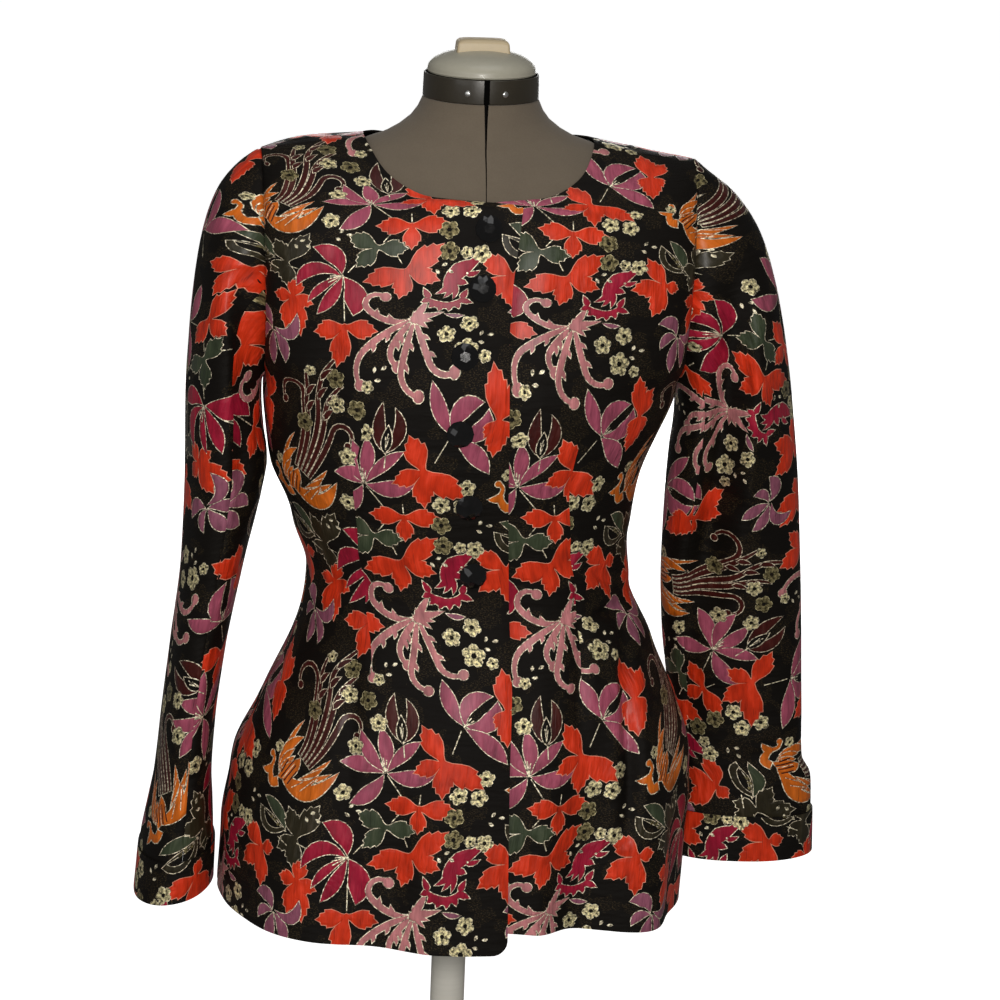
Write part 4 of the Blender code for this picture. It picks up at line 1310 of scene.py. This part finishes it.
class Finish:
    """A material and its nodes."""

    def __init__(self, name, **sockets):
        self.material = bpy.data.materials.new(name)
        self.material.use_nodes = True
        self.tree = self.material.node_tree
        self.shader = self.tree.nodes["Principled BSDF"]
        self.set(**sockets)

    def node(self, kind, settings=None, values=None, output=0):
        """A node: its settings first, then its sockets' values or links. Gives one output."""
        node = self.tree.nodes.new(kind)
        for key, value in (settings or {}).items():
            setattr(node, key, value)
        for key, value in (values or {}).items():
            self.feed(node.inputs[key], value)
        return Strand(self, node.outputs[output])

    def feed(self, socket, value):
        if isinstance(value, Strand):
            self.tree.links.new(value.socket, socket)
        else:
            socket.default_value = value

    def set(self, **sockets):
        for key, value in sockets.items():
            self.feed(self.shader.inputs[key.replace("_", " ")], value)

    def mix(self, share, low, high):
        """A colour between two colours."""
        low, high = ((*c, 1.0) if isinstance(c, tuple) else c for c in (low, high))
        settings = {"data_type": "RGBA", "clamp_factor": True}
        return self.node("ShaderNodeMix", settings, {0: share, 6: low, 7: high}, 2)

    def stretched(self, vector, x, y, z=1.0):
        return self.node("ShaderNodeVectorMath", {"operation": "MULTIPLY"}, {0: vector, 1: (x, y, z)})

    def noise(self, vector, scale, detail=2.0, rough=0.5):
        values = {"Vector": vector, "Scale": scale, "Detail": detail, "Roughness": rough}
        return self.node("ShaderNodeTexNoise", {}, values)

    def bumped(self, height, strength, distance):
        values = {"Height": height, "Strength": strength, "Distance": distance}
        self.set(Normal=self.node("ShaderNodeBump", {}, values))

    def object_place(self):
        return self.node("ShaderNodeTexCoord", {}, {}, "Object")


def brocade_finish():
    """Figured silk: dark ribbed ground, puckered satin figures with upright streaks and painted sheen, shade
    and highlights, gilt edges with painted glints.
    """
    silk = Finish("brocade", IOR=1.45, Specular_IOR_Level=0.17, Coat_Roughness=0.28)
    dye = silk.node("ShaderNodeAttribute", {"attribute_name": "dye"})
    kinds = silk.node("ShaderNodeAttribute", {"attribute_name": "thread"})
    satin = silk.node("ShaderNodeSeparateColor", {}, {0: kinds})
    gilt = satin.output(1)
    plain = 1 - satin - gilt
    cut = silk.node("ShaderNodeUVMap", {"uv_map": "cut"})
    mm = silk.stretched(cut, MM_PER_M, MM_PER_M)
    across = silk.node("ShaderNodeSeparateXYZ", {}, {0: mm})
    up = across.output(1)
    mottle = silk.noise(mm, 0.42, 3.0, 0.65)
    fleck = silk.noise(silk.stretched(mm, 0.5, 1.6), 1.1, 2.0)
    streak = silk.noise(silk.stretched(mm, 0.55, 0.03), 1.0, 3.0, 0.6)
    pucker = silk.noise(silk.stretched(mm, 0.14, 0.035), 1.0, 2.0, 0.5)
    patch = silk.noise(mm, 0.03, 2.0)
    glint = silk.noise(mm, 0.36, 2.0, 0.6)
    puff = silk.node("ShaderNodeAttribute", {"attribute_name": "puff"}, {}, "Fac")
    weave = up.waved(0.7) * 0.5 + (across + up).waved(1.1) * 0.5
    ground_tone = 0.5 + mottle * 0.7 + weave * 0.05
    # Painted sheen and shade on the satin: its colour brightens and darkens with puckers, upright streaks and
    # broad patches.
    painted_sheen = (streak - 0.5) * 0.6 + (pucker - 0.5) * 1.3 + (patch - 0.5) * 0.9
    # Painted shade in thin upright tucks of the satin.
    painted_tuck_shade = ((streak - 0.59) * 12).held(0.0, 1.0)
    satin_painted_shading = (1.06 + painted_sheen - painted_tuck_shade * 0.45).held(0.36, 1.4)
    # Painted glints on the gilt: in spots its colour goes well past its own brightness, in others it turns
    # dark.
    gilt_painted_glints = (0.85 + (glint - 0.5) * 6.0).held(0.14, 1.8)
    # The tone holds the ground's own mottle and weave, with the painted sheen, shade and glints of satin and
    # gilt.
    tone = ground_tone * plain + satin_painted_shading * satin + gilt_painted_glints * gilt
    shade = silk.node("ShaderNodeCombineXYZ", {}, {0: tone, 1: tone, 2: tone})
    colour = silk.node("ShaderNodeVectorMath", {"operation": "MULTIPLY"}, {0: dye, 1: shade})
    # Painted highlight: where the painted sheen is brightest, the satin is mixed towards a pale tint.
    painted_highlight = (painted_sheen - 0.10).held(0.0, 0.5) * satin * 0.07
    flecks = (fleck > 0.59) * (patch > 0.52) * plain * 0.6
    silk.set(Base_Color=silk.mix(flecks, silk.mix(painted_highlight, colour, linear("ffe2d2")), linear("54462d")))
    smoothness = 0.66 - satin * 0.24 - gilt * 0.30
    silk.set(Roughness=smoothness + (mottle - 0.5) * 0.12 + (streak - 0.5) * satin * 0.2)
    silk.set(Metallic=gilt * 0.35, Coat_Weight=satin * 0.16)
    cockle = silk.noise(silk.stretched(mm, 0.035, 0.16), 1.0, 2.0, 0.5)
    relief = weave * (0.05 - satin * 0.03) + gilt * glint * 0.15 + plain * cockle * 1.2
    relief = relief + satin * (pucker * 1.4 + streak * 0.5) + puff * (0.2 + pucker * 0.4)
    silk.bumped(relief, 0.9, 0.0016)
    return silk.material


def jet_finish():
    """Black pressed glass."""
    jet = Finish("jet_glass", IOR=1.50, Specular_IOR_Level=0.5)
    smear = jet.noise(jet.object_place(), 260, 3.0)
    jet.set(Base_Color=jet.mix(smear, linear("060606"), linear("141314")))
    jet.set(Roughness=0.05 + smear * 0.08)
    jet.bumped(smear, 0.05, 0.0002)
    return jet.material


def jersey_finish():
    """Grey-brown knitted cover of the form."""
    jersey = Finish("form_jersey", Specular_IOR_Level=0.2, Sheen_Weight=0.12, Sheen_Roughness=0.5)
    place = jersey.object_place()
    mm = jersey.stretched(place, MM_PER_M, MM_PER_M, MM_PER_M)
    across = jersey.node("ShaderNodeSeparateXYZ", {}, {0: mm})
    loops = (across.waved(1.2) + 1) * (across.output(2).waved(1.0) + 1) * 0.25
    cloud = jersey.noise(place, 26, 4.0, 0.6)
    fuzz = jersey.noise(mm, 0.9, 2.0)
    tone = 0.25 + cloud * 0.3 + fuzz * 0.35 + loops * 0.1
    jersey.set(Base_Color=jersey.mix(tone, linear("564c42"), linear("7d7262")))
    jersey.set(Roughness=0.84 + fuzz * 0.12)
    jersey.bumped(loops + fuzz * 0.8, 0.35, 0.0003)
    return jersey.material


def plastic_finish(name, low, high, roughness, grain=90, **sockets):
    """Moulded plastic with a faint cloud and grain; in near-black it is the painted shade of the form's slit
    and the neck's core.
    """
    plastic = Finish(name, **sockets)
    place = plastic.object_place()
    cloud = plastic.noise(place, grain, 4.0, 0.6)
    speck = plastic.noise(place, grain * 12, 2.0)
    plastic.set(Base_Color=plastic.mix(cloud * 0.7 + speck * 0.3, linear(low), linear(high)))
    plastic.set(Roughness=roughness + (speck - 0.5) * 0.18 + (cloud - 0.5) * 0.12)
    plastic.bumped(speck, 0.12, 0.0003)
    return plastic.material


def steel_finish():
    """Scuffed bright steel."""
    steel = Finish("rivet_steel", Metallic=1.0)
    scuff = steel.noise(steel.object_place(), 900, 3.0)
    steel.set(Base_Color=steel.mix(scuff, linear("b9b9b6"), linear("e4e4e0")))
    steel.set(Roughness=0.2 + scuff * 0.2)
    return steel.material


def painted_finish():
    """Off-white paint on wood, with faint brush lines round the turning."""
    paint = Finish("stand_paint", Specular_IOR_Level=0.4)
    place = paint.object_place()
    brush = paint.noise(paint.stretched(place, 8, 8, 160), 3.0, 4.0, 0.6)
    cloud = paint.noise(place, 14, 3.0)
    paint.set(Base_Color=paint.mix(brush * 0.5 + cloud * 0.5, linear("cfccc2"), linear("e9e6dd")))
    paint.set(Roughness=0.42 + brush * 0.16)
    paint.bumped(brush, 0.2, 0.0005)
    return paint.material


# The jacket


# Darts of the fronts on the cut: place, low end, waist, high end, width taken up
DARTS = {"right": (0.104, 0.245, 0.351, 0.500, 0.033), "left": (0.091, 0.225, 0.335, 0.475, 0.034)}
# Where the first bird of the weave sits on each cut, and its turn in degrees
BODY_WEAVE = {
    "front_right": (-0.0232, 0.623, 1.4),
    "front_left": (0.1167, 0.615, 0.0),
    "back_right": (0.11, 0.50, 0.0),
    "back_left": (0.11, 0.50, 0.0),
}
SLEEVE_WEAVE = {"right": (0.106, 0.555, 55.0), "left": (-0.0058, 0.457, -57.0)}
CUFF_WEAVE = {"right": (0.028, 0.555, 55.0), "left": (0.009, 0.020, 0.0)}
# Room that a sleeve's own figures leave those of the front: distance, depth below the armhole
CROWN_ROOM = {"right": (0.052, 0.062), "left": (0.018, 0.012)}
# How the weave is eased: a level, and lengths beyond it or a move across
BUST_BELOW_BIRD = 0.046
ABOVE_BUST = 0.80
UPPER_ARM = (0.43, 1.08)
ELBOW_FOLD = (0.26, -0.014)
SHOULDER_CORNER = (0.150, 0.600)
SHOULDER_TURN = -24
LAP_CORNER_RADIUS = 0.014
CUT_MARGIN = 0.03
CUFF_VENT = 1.5


def build_body(silk):
    """Fronts and backs. Gives their panels and the weave of each."""
    panels, weaves = {}, {}
    for k, (name, (u, v, turn)) in enumerate(BODY_WEAVE.items()):
        half, side = name.split("_")
        place, rows, middle = body_form(name)
        hand = 1 if name in ("front_left", "back_right") else -1
        dart = DARTS[side] if half == "front" else None
        panel = Panel(name, place, rows, hand, CREASES[name], 1.0 + 2.3 * k, middle, dart)
        low, high = panel.flat_box()
        weave = weave_over(low - CUT_MARGIN, high + CUT_MARGIN + (0, 0.06), np.array((u, v)), turn)
        if half == "front":
            weave = eased(weave, v - BUST_BELOW_BIRD, above=ABOVE_BUST)
        if name == "front_left":
            weave = turned_figures(weave, SHOULDER_CORNER, SHOULDER_TURN)
        panels[name], weaves[name] = panel, weave
        cloth_piece(panel, weave, silk, LAP_CORNER_RADIUS if name == "front_right" else None)
    return panels, weaves


def seam_shift(upper, under):
    """How far the under sleeve's cut lies from the upper one's where they are sewn at the front."""
    share = np.linspace(0.35, 0.95, 30)
    above, below = ((share * (len(panel.flat) - 1)).astype(int) for panel in (upper, under))
    return np.mean(under.flat[below, 0] - upper.flat[above, -1], 0)


def build_sleeve(side, silk, front, front_weave):
    """A two-piece sleeve and its cuff."""
    hand = -1 if side == "left" else 1
    seam, back = SLEEVE_FRONT_SEAM[side], SLEEVE_BACK_SEAM
    creases = CREASES["sleeve_" + side]
    upper = Panel(f"sleeve_upper_{side}", *sleeve_form(side, back, seam), hand, creases, 5.0)
    under = Panel(f"sleeve_under_{side}", *sleeve_form(side, seam, back + 360), hand, creases, 6.0)
    u, v, turn = SLEEVE_WEAVE[side]
    for panel, run_on in ((upper, 0.0), (under, seam_shift(upper, under))):
        weave = weave_over(*panel.flat_box(), np.array((u, v)) + run_on, turn)
        if side == "right":
            weave = eased(weave, UPPER_ARM[0], below=UPPER_ARM[1])
        else:
            weave = taken_in(weave, *ELBOW_FOLD)
        if panel is upper:
            weave = over_shoulder(front, panel, front_weave, weave, *CROWN_ROOM[side])
        cloth_piece(panel, weave, silk)
    form = sleeve_form(side, back + CUFF_VENT, back + 360 - CUFF_VENT, CUFF_OUT, cuff_first_row(side))
    cuff = Panel("cuff_" + side, *form, hand, (), 9.0)
    u, v, turn = CUFF_WEAVE[side]
    low, high = cuff.flat_box()
    weave = weave_over(low, high + (0, 0.2) if side == "right" else high, np.array((u, v)), turn)
    if side == "right":
        weave = eased(weave, UPPER_ARM[0], below=UPPER_ARM[1])
    cloth_piece(cuff, weave, silk)


# Tiers of a button: shares of its height and radius, corners, turn in shares of a corner
BUTTON_TIERS = ((0.0, 0.93, 12, 0.0), (0.26, 1.0, 12, 0.0), (0.62, 0.74, 12, 0.5), (1.0, 0.40, 6, 0.5))
BUTTON_LIFT = 0.0004
BUTTON_EDGE = 0.00018


def build_button(name, front, spin, jet):
    """A rose-cut button, square to the cloth under it."""
    nodes = front.points.reshape(-1, 3)
    low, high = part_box(name)
    centre = (np.array(low) + np.array(high)) / 2
    nearest = np.argmin(np.sum((nodes - centre) ** 2, 1))
    up = Vector(front.normals.reshape(-1, 3)[nearest])
    seat = centre - np.array(up) * np.dot(centre - nodes[nearest], up) + np.array(up) * BUTTON_LIFT
    turn = up.to_track_quat("Z", "Y").to_matrix()
    shape = bmesh.new()
    rings = []
    for height, radius, count, offset in BUTTON_TIERS:
        z, r = height * BUTTON_HEIGHT, radius * BUTTON_RADIUS
        angles = [2 * math.pi * (k + offset) / count + spin for k in range(count)]
        corners = [turn @ Vector((r * math.cos(a), r * math.sin(a), z)) + Vector(seat) for a in angles]
        rings.append([shape.verts.new(corner) for corner in corners])
    foot, girdle, crown, table = rings
    sides = len(foot)
    faces = [(foot[k], foot[(k + 1) % sides], girdle[(k + 1) % sides], girdle[k]) for k in range(sides)]
    for k in range(sides):
        after = (k + 1) % sides
        faces += [(girdle[k], girdle[after], crown[k]), (girdle[after], crown[after], crown[k])]
    for k in range(len(table)):
        a, b, c = crown[2 * k], crown[2 * k + 1], crown[(2 * k + 2) % sides]
        faces += [(a, b, table[k]), (b, c, table[k]), (c, table[(k + 1) % len(table)], table[k])]
    for face in (*faces, table, foot[::-1]):
        shape.faces.new(face)
    bmesh.ops.recalc_face_normals(shape, faces=shape.faces)
    piece = add_piece(name + "_facets", mesh_of(name + "_facets", shape, jet), "button", name)
    edge = piece.modifiers.new("ground_edges", "BEVEL")
    edge.width, edge.segments = BUTTON_EDGE, 1


def build_jacket():
    silk, jet = brocade_finish(), jet_finish()
    panels, weaves = build_body(silk)
    for side in ("right", "left"):
        build_sleeve(side, silk, panels["front_" + side], weaves["front_" + side])
    for index in range(1, 7):
        build_button(f"button_{index}", panels["front_right"], 0.4 * index, jet)


# The dress form and its stand


FORM_SIDES = 121
FORM_LEVELS = (*np.linspace(0.2760, 0.8600, 40), *np.linspace(0.8640, 0.9440, 41))
# The slit down the form's front: half width below, what it opens by at the neck, where that begins, depth
SLIT_GAP = 0.0004
SLIT_OPENS = 0.0015
SLIT_FROM_Z = 0.850
SLIT_RISE = 0.094
SLIT_DEPTH = 0.007


def form_ring(z):
    """Points round the form at a height, with the slit down its front."""
    table = np.array(FORM_RINGS)
    half_width, front, back, p = (np.interp(z, table[:, 0], table[:, k]) for k in (1, 2, 3, 4))
    gap = SLIT_GAP + SLIT_OPENS * max(0.0, (z - SLIT_FROM_Z) / SLIT_RISE) ** 3
    first = math.asin(min(1.0, (gap / half_width) ** (p / 2)))
    angles = np.linspace(-np.pi / 2 + first, 1.5 * np.pi - first, FORM_SIDES)
    c, s = np.cos(angles), np.sin(angles)
    x = half_width * np.sign(c) * np.abs(c) ** (2 / p)
    y = np.where(s > 0, back, front) * np.sign(s) * np.abs(s) ** (2 / p)
    x = np.concatenate((x, (-0.8 * gap, 0.8 * gap)))
    y = np.concatenate((y, (y[-1] + SLIT_DEPTH, y[0] + SLIT_DEPTH)))
    return np.stack((x, y, np.full_like(x, z)), 1)


def build_form():
    rings = [form_ring(z) for z in FORM_LEVELS]
    wide, top = len(rings[0]), len(rings) - 1
    faces = [
        [j * wide + k, j * wide + (k + 1) % wide, (j + 1) * wide + (k + 1) % wide, (j + 1) * wide + k]
        for j in range(top)
        for k in range(wide)
    ]
    faces += [list(range(wide))[::-1], [top * wide + k for k in range(wide)]]
    mesh = bpy.data.meshes.new("form_cover")
    mesh.from_pydata(np.concatenate(rings).tolist(), [], faces)
    mesh.materials.append(jersey_finish())
    # The slit's walls are painted near-black and nearly without shine, as the shade inside the narrow gap.
    mesh.materials.append(plastic_finish("slit_painted_shade", "060606", "0d0c0b", 0.9, 200, Specular_IOR_Level=0.1))
    for face in mesh.polygons:
        face.material_index = int(face.index < top * wide and face.index % wide >= FORM_SIDES - 1)
    mesh.shade_smooth()
    mesh.set_sharp_from_angle(angle=math.radians(40))
    add_piece("form_cover", mesh, "form_cloth", "form_body")


def turned_piece(name, profile, count, material, slot, *nodes, gap=0.0):
    """A turned piece about Z from a profile of (radius, z), open at its front by a gap's half width."""
    shape = bmesh.new()
    first = math.asin(gap / max(r for r, _ in profile)) if gap else 0.0
    count, closed = (count + 1, False) if gap else (count, True)
    angles = np.linspace(-math.pi / 2 + first, 1.5 * math.pi - first, count, endpoint=not closed)
    columns = [[shape.verts.new((r * math.cos(a), r * math.sin(a), z)) for r, z in profile] for a in angles]
    pairs = list(zip(columns, columns[1:])) + ([(columns[-1], columns[0])] if closed else [])
    for left, right in pairs:
        for k in range(len(profile) - 1):
            shape.faces.new((left[k], left[k + 1], right[k + 1], right[k]))
    if not closed:
        shape.faces.new(columns[0][::-1])
        shape.faces.new(columns[-1])
    bmesh.ops.remove_doubles(shape, verts=shape.verts, dist=1e-6)
    bmesh.ops.dissolve_degenerate(shape, edges=shape.edges, dist=1e-7)
    bmesh.ops.recalc_face_normals(shape, faces=shape.faces)
    mesh = mesh_of(name, shape, material)
    mesh.shade_smooth()
    mesh.set_sharp_from_angle(angle=math.radians(38))
    add_piece(name, mesh, slot, *nodes)


def rounded_profile(corners, radius, steps=4):
    """A profile whose inner corners are rounded."""
    profile = [corners[0]]
    for before, corner, after in zip(corners, corners[1:], corners[2:]):
        before, corner, after = (np.array(p, float) for p in (before, corner, after))
        into, out = corner - before, after - corner
        cut = min(radius, 0.45 * np.linalg.norm(into), 0.45 * np.linalg.norm(out))
        start = corner - into / np.linalg.norm(into) * cut
        end = corner + out / np.linalg.norm(out) * cut
        for t in np.linspace(0, 1, steps + 1):
            profile.append(tuple((1 - t) ** 2 * start + 2 * t * (1 - t) * corner + t * t * end))
    return profile + [corners[-1]]


BAND_WALL = 0.0018
BAND_FLARE = 0.0006
BAND_GAP = 0.0026
CORE_WALL = 0.0017
CORE_DROP = 0.0008
RIVET_RADIUS = 0.0028
RIVET_FLATTENED = 0.62
RIVET_PLACE = (0.0168, 0.43)
CAP_EDGE = 0.003
GRIP_LIFT = 0.0003
GRIP_SUNK = 0.004


def build_band():
    """The strip round the neck, its core painted near-black as the shade in the band's gap and under the cap,
    and two rivets.
    """
    low, high = BAND_Z
    r = NECK_RADIUS
    band = plastic_finish("band_plastic", "28241b", "383227", 0.34, 60, Coat_Weight=0.15)
    strip = ((r - BAND_WALL, high), (r, high), (r + BAND_FLARE, low), (r - BAND_WALL, low))
    strip = rounded_profile(strip, 0.0012)
    turned_piece("neck_band_strip", strip, 120, band, "neck_band", "neck_band", gap=BAND_GAP)
    # Painted shade: the core is near-black and nearly without shine, standing for the shade in the band's gap
    # and under the cap.
    black = plastic_finish("collar_painted_shade", "030303", "070706", 0.85, 120, Specular_IOR_Level=0.05)
    inner, top = r - CORE_WALL, high - CORE_DROP
    turned_piece("neck_core", ((0, top), (inner, top), (inner, low), (0, low)), 96, black, "neck_band")
    shape = bmesh.new()
    along, up = RIVET_PLACE
    for side in (-1, 1):
        angle = -math.pi / 2 + side * along / r
        out = Vector((math.cos(angle), math.sin(angle), 0))
        middle = out * (r + 0.0003) + Vector((0, 0, low + up * (high - low)))
        turn = out.to_track_quat("Z", "Y").to_matrix().to_4x4()
        turn.translation = middle
        ball = {"u_segments": 20, "v_segments": 10, "radius": RIVET_RADIUS, "matrix": turn}
        for vert in bmesh.ops.create_uvsphere(shape, **ball)["verts"]:
            off = vert.co - middle
            vert.co = middle + off - out * off.dot(out) * RIVET_FLATTENED
    mesh = mesh_of("band_rivets", shape, steel_finish())
    mesh.shade_smooth()
    add_piece("band_rivets", mesh, "neck_band")


def build_cap():
    """The domed cap of the neck and the grip on it."""
    low, high = CAP_Z
    rim, edge = CAP_RIM, low + CAP_EDGE
    turns = np.linspace(0, math.pi / 2 - 0.02, 24)
    dome = [(rim * math.sin(t), edge + (high - low - CAP_EDGE) * math.cos(t) ** 0.95) for t in turns]
    profile = dome + [(rim, edge), (rim + 0.0004, low + 0.0014), (rim - 0.0006, low), (0, low)]
    shell = plastic_finish("cap_plastic", "a3a090", "b4b0a0", 0.40, 240, Coat_Weight=0.1)
    turned_piece("neck_cap_dome", profile, 120, shell, "neck_cap", "neck_cap")
    shape = bmesh.new()
    bmesh.ops.create_grid(shape, x_segments=14, y_segments=8, size=1.0)
    w, d, h = (0.5 * x for x in GRIP_SIZE)
    top = high + GRIP_LIFT + 2 * h
    for vert in shape.verts:
        x, y = vert.co.x, vert.co.y
        fall = max(abs(x) ** 6, abs(y) ** 6)
        vert.co = Vector((w * x * (1 - 0.05 * fall), d * y, top - 0.0022 * fall - 0.0006 * x * x))
    skirt = bmesh.ops.extrude_edge_only(shape, edges=[line for line in shape.edges if line.is_boundary])
    for vert in (v for v in skirt["geom"] if isinstance(v, bmesh.types.BMVert)):
        vert.co = Vector((vert.co.x * 1.05, vert.co.y * 1.04, high - GRIP_SUNK))
    bmesh.ops.holes_fill(shape, edges=[line for line in shape.edges if line.is_boundary])
    bmesh.ops.recalc_face_normals(shape, faces=shape.faces)
    mesh = mesh_of("cap_grip_block", shape, plastic_finish("grip_plastic", "b8a684", "ccba98", 0.42, 150))
    mesh.shade_smooth()
    mesh.set_sharp_from_angle(angle=math.radians(60))
    piece = add_piece("cap_grip_block", mesh, "cap_grip", "cap_grip")
    bevel = piece.modifiers.new("rounded", "BEVEL")
    bevel.width, bevel.segments, bevel.limit_method = 0.0016, 3, "ANGLE"


def build_stand():
    """A round base and a post, a hair clear of each other and of the form."""
    paint = painted_finish()
    t, r, clear = BASE_THICKNESS, BASE_RADIUS, 0.0003
    base = ((0, t), (r - 0.012, t), (r - 0.004, t - 0.004), (r, t - 0.010), (r, 0.0), (0, 0.0))
    turned_piece("stand_base_disc", rounded_profile(base, 0.003), 144, paint, "stand", "stand_base")
    top = FORM_RINGS[0][0] - clear
    post = ((0, top), (POST_RADIUS, top), (POST_RADIUS, t + clear), (0, t + clear))
    turned_piece("stand_post_rod", rounded_profile(post, 0.001), 72, paint, "stand", "stand_post")


# Studio


# Lights: name, place, width, height, power, colour
LIGHTS = (
    ("key", (-0.2, -3.0, 1.5), 0.6, 0.6, 50, (1.0, 0.97, 0.93)),
    ("fill", (-1.9, -2.0, 1.6), 1.4, 1.4, 8, (1.0, 1.0, 1.0)),
    ("top", (0.2, -0.3, 2.8), 1.2, 1.2, 8, (1.0, 1.0, 1.0)),
    ("back", (0.5, 2.9, 0.75), 1.6, 1.2, 26, (1.0, 1.0, 1.0)),
)
LIGHTS_AIM = (0.03, 0.0, 0.60)
SKY = (1.0, 0.99, 0.97, 1.0)
SKY_STRENGTH = 0.13
FLOOR_HALF_SIZE = 400.0
FLOOR_DROP = 0.0005
PAPER_GLOW = 0.90
CAMERA_AZIMUTH = -6.5
CAMERA_ELEVATION = 15.0
CAMERA_ROLL = 2.3
CAMERA_DISTANCE = 3.2
CAMERA_TARGET = (0.0332, 0.0155, 0.5716)
CAMERA_LENS = 125.9
CAMERA_SEES_TO = 1000.0


def build_floor():
    """White paper, which does not light the dark cloth from below."""
    shape = bmesh.new()
    bmesh.ops.create_grid(shape, x_segments=8, y_segments=8, size=FLOOR_HALF_SIZE)
    sheet = Finish("studio_paper", Roughness=0.95, Specular_IOR_Level=0.0)
    sheet.set(Emission_Color=(1, 1, 1, 1), Emission_Strength=PAPER_GLOW)
    paper = sheet.noise(sheet.object_place(), 3.0, 3.0)
    sheet.set(Base_Color=sheet.mix(paper, linear("f3f3f2"), linear("f8f8f7")))
    floor = bpy.data.objects.new("studio_floor", mesh_of("studio_floor", shape, sheet.material))
    floor.location = (0, 0, -FLOOR_DROP)
    bpy.context.scene.collection.objects.link(floor)
    floor.visible_diffuse = floor.visible_glossy = False


def build_lights():
    for name, place, width, height, power, colour in LIGHTS:
        lamp = bpy.data.lights.new(name, "AREA")
        lamp.shape, lamp.size, lamp.size_y = "RECTANGLE", width, height
        lamp.energy, lamp.color = power, colour
        holder = bpy.data.objects.new(name, lamp)
        holder.location = place
        holder.rotation_euler = (Vector(LIGHTS_AIM) - Vector(place)).to_track_quat("-Z", "Y").to_euler()
        bpy.context.scene.collection.objects.link(holder)
    world = bpy.data.worlds.new("studio")
    world.use_nodes = True
    sky = world.node_tree.nodes["Background"].inputs
    sky["Color"].default_value, sky["Strength"].default_value = SKY, SKY_STRENGTH
    bpy.context.scene.world = world


def build_camera():
    """The camera where the photograph's stood."""
    azimuth, elevation, roll = map(math.radians, (CAMERA_AZIMUTH, CAMERA_ELEVATION, CAMERA_ROLL))
    level = math.cos(elevation)
    back = Vector((math.sin(azimuth) * level, -math.cos(azimuth) * level, math.sin(elevation)))
    right = (-back).cross(Vector((0, 0, 1))).normalized()
    up = right.cross(-back)
    turned = math.cos(roll) * right + math.sin(roll) * up
    upright = -math.sin(roll) * right + math.cos(roll) * up
    lens = bpy.data.cameras.new("photo_camera")
    lens.sensor_width, lens.lens, lens.clip_end = 36.0, CAMERA_LENS, CAMERA_SEES_TO
    camera = bpy.data.objects.new("photo_camera", lens)
    stand = Matrix.Translation(Vector(CAMERA_TARGET) + back * CAMERA_DISTANCE)
    camera.matrix_world = stand @ Matrix((turned, upright, back)).transposed().to_4x4()
    bpy.context.scene.collection.objects.link(camera)
    bpy.context.scene.camera = camera
    bpy.context.scene.view_settings.view_transform = "Standard"


build_jacket()
build_form()
build_band()
build_cap()
build_stand()
build_floor()
build_lights()
build_camera()
